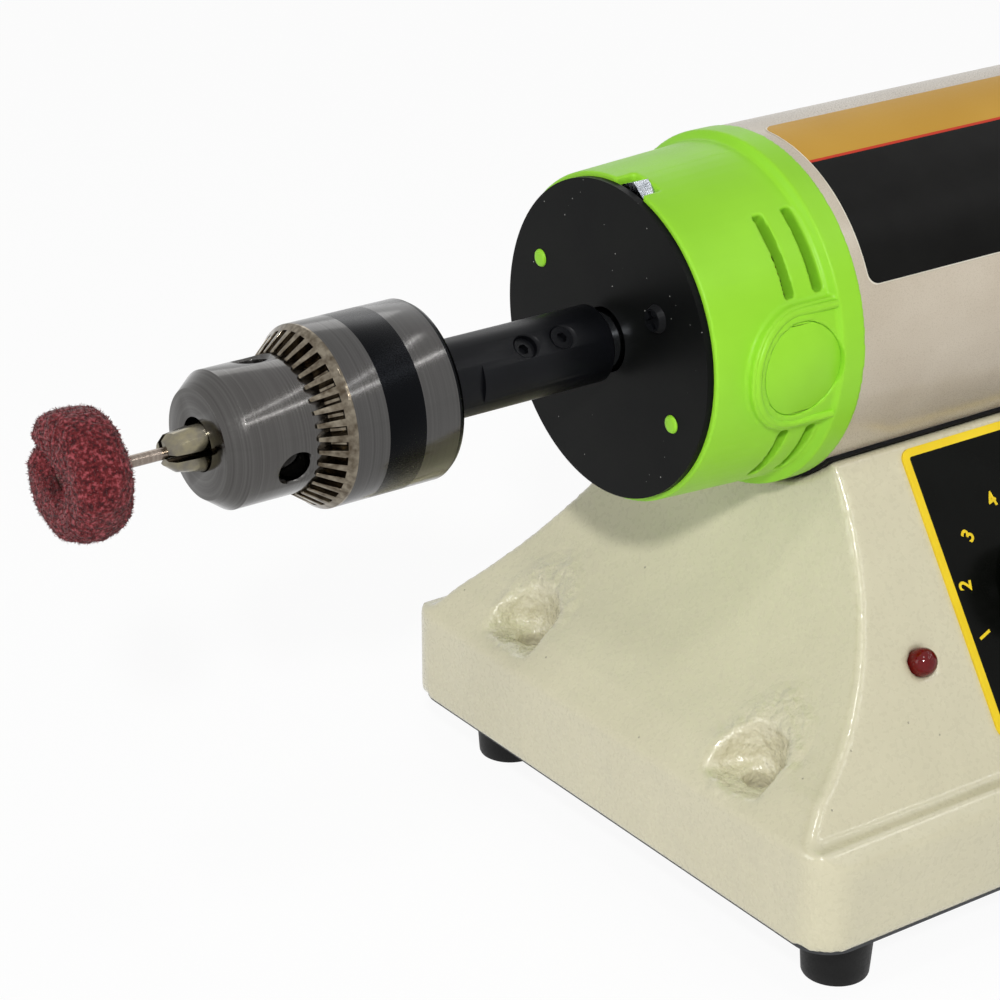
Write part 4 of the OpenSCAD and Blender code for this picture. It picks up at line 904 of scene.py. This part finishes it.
    def sheet(self, name: str, inset: float, thick: float) -> Piece:
        """Cuts a sheet with round corners and wraps it on the tube.

        Args:
            name: Name of the sheet.
            inset: How far its border lies inside the label's.
            thick: Its thickness.

        Returns:
            The wrapped sheet.
        """
        low, high = (math.radians(angle) for angle in self.label_arc)
        depth = (high - low) * TUBE_RADIUS - 2 * inset
        piece = plate(name, self.label_len - 2 * inset, depth, self.corner_mm)
        cuts = 40
        for i in range(1, cuts):
            line = -depth / 2 + depth * i / cuts
            edit(piece, lambda line=line: bpy.ops.mesh.bisect(plane_co=(0, line, 0), plane_no=(0, 1, 0)))
        middle = self.label_from + self.label_len / 2
        radius = TUBE_RADIUS + self.label_gap
        for vertex in piece.data.vertices:
            angle = (low + high) / 2 - vertex.co.y / TUBE_RADIUS
            vertex.co = Vector((middle + vertex.co.x, radius * math.cos(angle),
                                SPINDLE_HEIGHT + radius * math.sin(angle))) * MM
        apply(piece, "SOLIDIFY", thickness=thick * MM, offset=1.0)
        edit(piece, lambda: bpy.ops.mesh.normals_make_consistent(inside=False))
        return settle(piece, 30.0)


@dataclass
class Chuck:
    """The adapter rod and the keyed chuck.

    Attributes:
        nodes: The frame's pieces by name.
        edge_mm: Bevel of the rod and the body.
        tooth_edge_mm: Bevel of the toothed sleeve.
    """

    nodes: dict[str, Piece]
    edge_mm: float = 0.25
    tooth_edge_mm: float = 0.15

    def build(self) -> None:
        """Breaks the sharp edges of the turned pieces."""
        rod = eased(self.nodes["adapter_rod"], "rod_turned", self.edge_mm)
        dress(rod, OXIDE, Body.SPINDLE, "black_oxide", "adapter_rod")
        body = eased(self.nodes["chuck_body"], "chuck_nose_turned", self.edge_mm)
        dress(body, STEEL, Body.SPINDLE, "ground_steel", "chuck_body")
        sleeve = eased(self.nodes["chuck_sleeve"], "chuck_sleeve_cut", self.tooth_edge_mm)
        dress(sleeve, SLEEVE_STEEL, Body.SLEEVE, "ground_steel", "chuck_sleeve")


@dataclass
class FleeceWheel:
    """The abrasive fleece wheel on its mandrel.

    Attributes:
        front: X of its free face.
        width: Its width.
        radius: Its radius.
        recess_radius: Radius of the pit round the mandrel's end.
        recess: Depth of that pit.
        pinch_mm: How deep the fold across the free face is.
        pinch_way: Direction in which the fold runs out from the middle, along Y and Z.
        pinch_half: Half the fold's width.
        pinch_deep: How far into the wheel the fold is felt.
        pinch_fade: How far from the middle the fold starts, and over what length it fades in.
        dents: Size and depth of the soft dents, then of the fine nap.
        fibres: Number of loose fibres.
        seed: Start of the random draws that place them.
    """

    front: float = -160.0
    width: float = 12.5
    radius: float = 12.7
    recess_radius: float = 2.5
    recess: float = 4.2
    pinch_mm: float = 2.3
    pinch_way: tuple[float, float] = (-0.94, -0.33)
    pinch_half: float = 1.9
    pinch_deep: float = 5.0
    pinch_fade: tuple[float, float] = (5.5, 4.0)
    dents: tuple[tuple[str, float, float], ...] = (("dents", 6.0, 1.4), ("nap", 0.7, 0.7))
    fibres: int = 9000
    seed: int = 7

    def build(self) -> None:
        """Turns the wheel's body, roughens it and sets its fibres."""
        wheel = self.body()
        self.roughen(wheel)
        fluff = self.fluff(wheel)
        dress(wheel, FLEECE, Body.TOOL, "abrasive_fleece", "polishing_wheel")
        dress(fluff, FLEECE, Body.TOOL, "abrasive_fleece")

    def body(self) -> Piece:
        """Spins the wheel's section round the spindle, from the pit over the rim to the back."""
        r, w, pit, hollow = self.radius, self.width, self.recess_radius, self.recess
        section = [(hollow, 0.9), (hollow, pit - 0.4), (hollow - 1.2, pit), (1.4, pit - 0.5), (0.5, pit + 0.2),
                   (0.2, pit + 1.6), (0.3, r - 3.8), (1.1, r - 1.5), (2.8, r - 0.2), (w * 0.5, r + 0.2),
                   (w - 2.6, r - 0.3), (w - 1.0, r - 1.5), (w - 0.2, r - 3.6), (w, 3.0), (w, 1.25)]
        mesh = bpy.data.meshes.new("wheel_fleece")
        points = [Vector((self.front + x, 0, SPINDLE_HEIGHT + y)) * MM for x, y in section]
        mesh.from_pydata(points, [(i, i + 1) for i in range(len(points) - 1)], [])
        piece = placed("wheel_fleece", mesh)
        centre = (0.0, 0.0, SPINDLE_HEIGHT * MM)
        edit(piece, lambda: bpy.ops.mesh.spin(steps=64, angle=2 * math.pi, center=centre, axis=(1, 0, 0)),
             lambda: bpy.ops.mesh.select_all(action="SELECT"),
             lambda: bpy.ops.mesh.remove_doubles(threshold=2 * MERGE_M),
             lambda: bpy.ops.mesh.normals_make_consistent(inside=False))
        apply(piece, "SUBSURF", levels=2, render_levels=2)
        return piece

    def roughen(self, piece: Piece) -> None:
        """Presses the fold, soft dents and a fine nap into the wheel."""
        way_y, way_z = self.pinch_way
        start, fade = self.pinch_fade
        for vertex in piece.data.vertices:
            across = vertex.co.y / MM
            high = vertex.co.z / MM - SPINDLE_HEIGHT
            deep = (vertex.co.x / MM - self.front) / self.pinch_deep
            along = way_y * across + way_z * high
            off = way_y * high - way_z * across
            if deep < 1:
                reach = max(0.0, min(1.0, (start - along) / fade))
                bump = math.exp(-((off / self.pinch_half) ** 2))
                vertex.co.x += self.pinch_mm * MM * (1 - deep) * reach * bump
        for name, size, depth in self.dents:
            dent(piece, name, size, depth, 0.6)
        settle(piece, 60.0)

    def fluff(self, wheel: Piece) -> Piece:
        """Sets short bent fibres on the wheel's skin, each a thin three-sided strand."""
        rng = random.Random(self.seed)
        # The spin leaves the faces in another order each time, so they are put in order by their places.
        faces = sorted(wheel.data.polygons, key=lambda face: tuple(face.center))
        verts: list[Vector] = []
        sides: list[tuple[int, int, int, int]] = []
        for _ in range(self.fibres):
            face = faces[rng.randrange(len(faces))]
            out = face.normal.copy()
            lean = Vector((rng.uniform(-1, 1), rng.uniform(-1, 1), rng.uniform(-1, 1)))
            across = out.cross(lean).normalized()
            other = out.cross(across).normalized()
            start = face.center - out * 0.2 * MM
            reach = rng.uniform(0.3, 0.75)
            thick = rng.uniform(0.05, 0.1) * MM
            bend = across * rng.uniform(-0.5, 0.5) + other * rng.uniform(-0.5, 0.5)
            base = len(verts)
            for level, share in ((0.0, 1.0), (0.6, 0.9), (1.0, 0.5)):
                spot = start + (out * level + bend * level * level) * reach * MM
                for k in range(3):
                    turn = k * 2 * math.pi / 3
                    verts.append(spot + (across * math.cos(turn) + other * math.sin(turn)) * thick * share)
            for level in (0, 3):
                for k in range(3):
                    a, b = base + level + k, base + level + (k + 1) % 3
                    sides.append((a, b, b + 3, a + 3))
        mesh = bpy.data.meshes.new("wheel_fibres")
        mesh.from_pydata(verts, [], sides)
        piece = placed("wheel_fibres", mesh)
        edit(piece, lambda: bpy.ops.mesh.normals_make_consistent(inside=False))
        return settle(piece, 80.0)


@dataclass
class Controls:
    """Panel border, dial numbers, knob and rocker on the sloped front.

    Attributes:
        nodes: The frame's pieces by name.
        slope_deg: How far the slope leans back from level.
        seam: Y and Z of the slope's upper end.
        panel: The panel's length along X and down the slope.
        panel_middle: X of its middle.
        panel_top: Its distance from the slope's upper end.
        panel_thick: Its thickness.
        border_mm: Width of the yellow border.
        border_over: How far the border's edge and back reach past the panel's.
        border_lift: How far its face stands out of the panel's.
        corner_mm: Radius of its corners.
        ink_gap: How far ink stands out of the panel.
        knob: X of the knob and its distance down the slope.
        knob_top: Height of the pointer's middle over the panel.
        pointer: Length of the pointer's box across, along and up from the slope.
        pointer_out: Distance of its middle from the knob's.
        switch: X of the switch and its distance down the slope.
        digit_radius: Distance of the numbers from the knob's middle.
        digit_mm: Height of a number.
        digit_arc: Angles of the first and the last number.
        sign_mm: Height of a sign on the rocker.
        sign_out: Distance of a sign from the rocker's middle, and its height over the pivot.
        sign_tilt: How far the rocker's two faces lean from one another's middle.
        rocker_rest: How far the rocker is tipped at rest.
        pivot_drop: How far its pivot lies below the slope.
        stroke_mm: How far a number or sign is thickened, and how far it is raised.
    """

    nodes: dict[str, Piece]
    slope_deg: float = 56.13
    seam: tuple[float, float] = (-26.163, 98.837)
    panel: tuple[float, float] = (68.0, 63.0)
    panel_middle: float = 55.0
    panel_top: float = 3.0
    panel_thick: float = 0.5
    border_mm: float = 1.8
    border_over: tuple[float, float] = (0.1, 0.05)
    border_lift: float = 0.07
    corner_mm: float = 2.4
    ink_gap: float = 0.04
    knob: tuple[float, float] = (45.5, 38.0)
    knob_top: float = 14.15
    pointer: tuple[float, float, float] = (0.9, 6.0, 0.5)
    pointer_out: float = 5.2
    switch: tuple[float, float] = (72.0, 38.0)
    digit_radius: float = 20.3
    digit_mm: float = 4.5
    digit_arc: tuple[float, float] = (230.0, -50.0)
    sign_mm: float = 3.4
    sign_out: tuple[float, float] = (4.6, 3.42)
    sign_tilt: float = 13.8
    rocker_rest: float = 10.0
    pivot_drop: float = 0.4
    stroke_mm: tuple[float, float] = (0.1, 0.05)

    def build(self) -> None:
        """Makes every piece of the controls."""
        dress(self.border(), YELLOW, Body.MACHINE, "panel_film")
        dress(self.digits(), YELLOW, Body.MACHINE, "panel_film")
        knob = recast(self.nodes["speed_knob"], "knob_moulding", 0.3, 1)
        dress(knob, KNOB_ABS, Body.KNOB, "black_plastic", "speed_knob")
        dress(self.knob_pointer(), WHITE_INK, Body.KNOB, "black_plastic")
        rocker = eased(self.nodes["switch_rocker"], "rocker_moulding", 0.3)
        dress(rocker, ROCKER_RED, Body.ROCKER, "red_rocker", "switch_rocker")
        dress(self.signs(), WHITE_INK, Body.ROCKER, "red_rocker")

    def lay(self, piece: Piece, x: float, drop: float, height: float) -> Piece:
        """Moves a piece from the origin onto the front slope, so that its z stands out of the slope.

        Args:
            piece: The piece, in millimetres.
            x: Along the spindle.
            drop: Down the slope from its upper end.
            height: Out of the slope.

        Returns:
            The piece.
        """
        turn = Matrix.Rotation(math.radians(self.slope_deg), 4, "X")
        start = Matrix.Translation((x, *self.seam))
        piece.data.transform(Matrix.Scale(MM, 4) @ start @ turn @ Matrix.Translation((0, -drop, height)))
        return settle(piece, 30.0)

    def border(self) -> Piece:
        """Cuts the yellow frame from a rounded plate by insetting it and dropping the middle."""
        side, back = self.border_over
        width, depth = self.panel
        piece = plate("panel_border", width + side, depth + side, self.corner_mm)
        edit(piece, lambda: bpy.ops.mesh.inset(thickness=self.border_mm, depth=0.0),
             lambda: bpy.ops.mesh.delete(type="FACE"))
        apply(piece, "SOLIDIFY", thickness=self.panel_thick + back, offset=-1.0)
        return self.lay(piece, self.panel_middle, self.panel_top + depth / 2, self.panel_thick + self.border_lift)

    def word(self, text: str, name: str, size: float) -> Piece:
        """Returns a raised number or sign as a mesh at the origin, centred."""
        curve = bpy.data.curves.new(name, "FONT")
        curve.body = text
        curve.size = size
        curve.offset, curve.extrude = self.stroke_mm
        curve.align_x = "CENTER"
        curve.align_y = "CENTER"
        return meshed(name, curve)

    def joined(self, parts: Sequence[Piece], name: str) -> Piece:
        """Joins pieces into one under a new name."""
        bpy.ops.object.select_all(action="DESELECT")
        for part in parts:
            part.select_set(True)
        bpy.context.view_layer.objects.active = parts[0]
        bpy.ops.object.join()
        parts[0].name = parts[0].data.name = name
        return parts[0]

    def digits(self) -> Piece:
        """Sets plain numbers from 0 to 9 round the knob."""
        parts = []
        first, last = self.digit_arc
        for i in range(10):
            angle = math.radians(first + (last - first) * i / 9)
            sign = self.word(str(i), f"digit_{i}", self.digit_mm)
            spot = Vector((math.cos(angle), math.sin(angle), 0)) * self.digit_radius
            sign.data.transform(Matrix.Translation(spot) @ Matrix.Rotation(angle - math.pi / 2, 4, "Z"))
            parts.append(sign)
        return self.lay(self.joined(parts, "dial_numbers"), *self.knob, self.panel_thick + self.ink_gap)

    def knob_pointer(self) -> Piece:
        """Fills the knob's pointer groove with a white line."""
        piece = cube("knob_pointer", self.pointer, Matrix.Translation((0, self.pointer_out, 0)), 0.12)
        return self.lay(piece, *self.knob, self.panel_thick + self.knob_top)

    def signs(self) -> Piece:
        """Prints the plain on and off signs on the rocker's two ends."""
        parts = []
        out, height = self.sign_out
        pivot = Matrix.Translation((0, 0, -self.pivot_drop)) @ Matrix.Rotation(math.radians(self.rocker_rest), 4, "X")
        for text, way in (("I", 1), ("O", -1)):
            sign = self.word(text, f"sign_{text}", self.sign_mm)
            tilt = Matrix.Rotation(math.radians(way * self.sign_tilt), 4, "X")
            sign.data.transform(pivot @ Matrix.Translation((0, way * out, height)) @ tilt)
            parts.append(sign)
        return self.lay(self.joined(parts, "rocker_signs"), *self.switch, 0.0)


@dataclass(frozen=True)
class Lamp:
    """A rectangular soft lamp that looks at the machine.

    Attributes:
        name: What it is for.
        spot: Its place, in metres.
        size: Its two sides, in metres.
        power: Its power, in watts.
    """

    name: str
    spot: tuple[float, float, float]
    size: tuple[float, float]
    power: float

    def hang(self) -> None:
        """Hangs the lamp and aims it at the machine's middle."""
        data = bpy.data.lights.new(self.name, "AREA")
        data.shape = "RECTANGLE"
        data.size, data.size_y = self.size
        data.energy = self.power
        lamp = placed(self.name, data)
        lamp.location = self.spot
        aim = Vector((0.0, 0.0, 0.1)) - Vector(self.spot)
        lamp.rotation_euler = aim.to_track_quat("-Z", "Y").to_euler()


# Two strips streak the steel, two keys hang above the camera, and a fill and a rear lamp soften the shade.
LAMPS = (
    Lamp("front_strip", (0.62, -0.70, 0.88), (1.5, 0.026), 1.7),
    Lamp("upper_strip", (0.60, -0.40, 1.05), (1.5, 0.018), 1.0),
    Lamp("key", (-0.80, -1.02, 0.97), (0.1, 0.1), 14.2),
    Lamp("high_key", (-0.45, -0.62, 1.55), (0.2, 0.2), 3.2),
    Lamp("fill", (-1.30, 0.25, 0.45), (0.7, 0.6), 3.8),
    Lamp("rear", (0.5, 1.2, 0.9), (1.0, 0.6), 2.0),
)


@dataclass
class Studio:
    """Camera, floor and background.

    Attributes:
        position: Where the camera stands.
        forward: The way it looks.
        lens: Its focal length.
        sensor: Width of its sensor.
        floor_m: The floor's side, in metres.
        floor_drop_m: How far the floor lies below the feet, in metres.
        floor_glow: Share of the floor's own light in what is seen of it.
        ambient: Strength of the white world as light.
    """

    position: tuple[float, float, float] = (-384.65, -458.94, 345.50)
    forward: tuple[float, float, float] = (0.52701, 0.74682, -0.40562)
    lens: float = 110.24
    sensor: float = 36.0
    floor_m: float = 6.0
    floor_drop_m: float = 0.0002
    floor_glow: float = 0.93
    ambient: float = 0.12

    def camera(self) -> None:
        """Sets the camera where the photograph was taken from."""
        data = bpy.data.cameras.new("camera")
        data.lens = self.lens
        data.sensor_width = self.sensor
        data.clip_start = 0.01
        camera = placed("camera", data)
        camera.location = Vector(self.position) * MM
        camera.rotation_euler = Vector(self.forward).to_track_quat("-Z", "Y").to_euler()
        bpy.context.scene.camera = camera

    def seen(self, graph: Graph) -> Socket:
        """Returns 1 for the rays that see the background: straight, mirrored or through glass."""
        rays = graph.add("LightPath").node.outputs
        plain = graph.add("Math", {0: rays["Is Camera Ray"], 1: rays["Is Glossy Ray"]}, operation="MAXIMUM")
        return graph.add("Math", {0: plain, 1: rays["Is Transmission Ray"]}, operation="MAXIMUM")

    def world(self) -> None:
        """Sets a white world that lights the machine only faintly."""
        scene = bpy.context.scene
        scene.view_settings.view_transform = "Standard"
        scene.world = bpy.data.worlds.new("studio")
        scene.world.use_nodes = True
        graph = Graph(scene.world.node_tree)
        back = graph.tree.nodes["Background"]
        level = graph.add("MapRange", {"Value": self.seen(graph), "To Min": self.ambient, "To Max": 1.0})
        feed(back.inputs["Strength"], level)
        feed(back.inputs["Color"], linear("#FFFFFF"))

    def floor(self) -> None:
        """Lays a floor of white paper that glows where it is seen."""
        bpy.ops.object.select_all(action="DESELECT")
        bpy.ops.mesh.primitive_plane_add(size=self.floor_m, location=(0, 0, -self.floor_drop_m))
        floor = bpy.context.active_object
        floor.name = "floor"
        settle(floor)
        shader = Shader("floor_paper")
        shader.set(Base_Color=linear("#FFFFFF"), Roughness=0.9)
        glow = shader.add("Emission", {"Color": linear("#FFFFFF"), "Strength": 1.0})
        share = shader.add("Math", {0: self.seen(shader), 1: self.floor_glow}, operation="MULTIPLY")
        mixed = shader.add("MixShader", {0: share, 1: shader.surface.outputs[0], 2: glow})
        feed(shader.tree.nodes["Material Output"].inputs["Surface"], mixed)
        floor.data.materials.append(shader.material)


def dress_frame(nodes: dict[str, Piece]) -> None:
    """Gives the frame's own pieces their finishes."""
    for finish, names in CAD_FINISHES.items():
        material = finish.material()
        for name in names:
            for slot in nodes[name].material_slots:
                slot.material = material
            LOG.info("%s keeps its shape in %s", name, finish.name)


def main() -> None:
    """Builds the studio and every sub-assembly."""
    logging.basicConfig(level=logging.INFO, format="%(name)s: %(message)s")
    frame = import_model()
    nodes: dict[str, Piece] = frame["nodes"]
    studio = Studio()
    studio.camera()
    Pedestal(nodes).build()
    Motor(nodes).build()
    Chuck(nodes).build()
    FleeceWheel().build()
    Controls(nodes).build()
    dress_frame(nodes)
    for lamp in LAMPS:
        lamp.hang()
    studio.world()
    studio.floor()


if __name__ == "__main__":
    main()
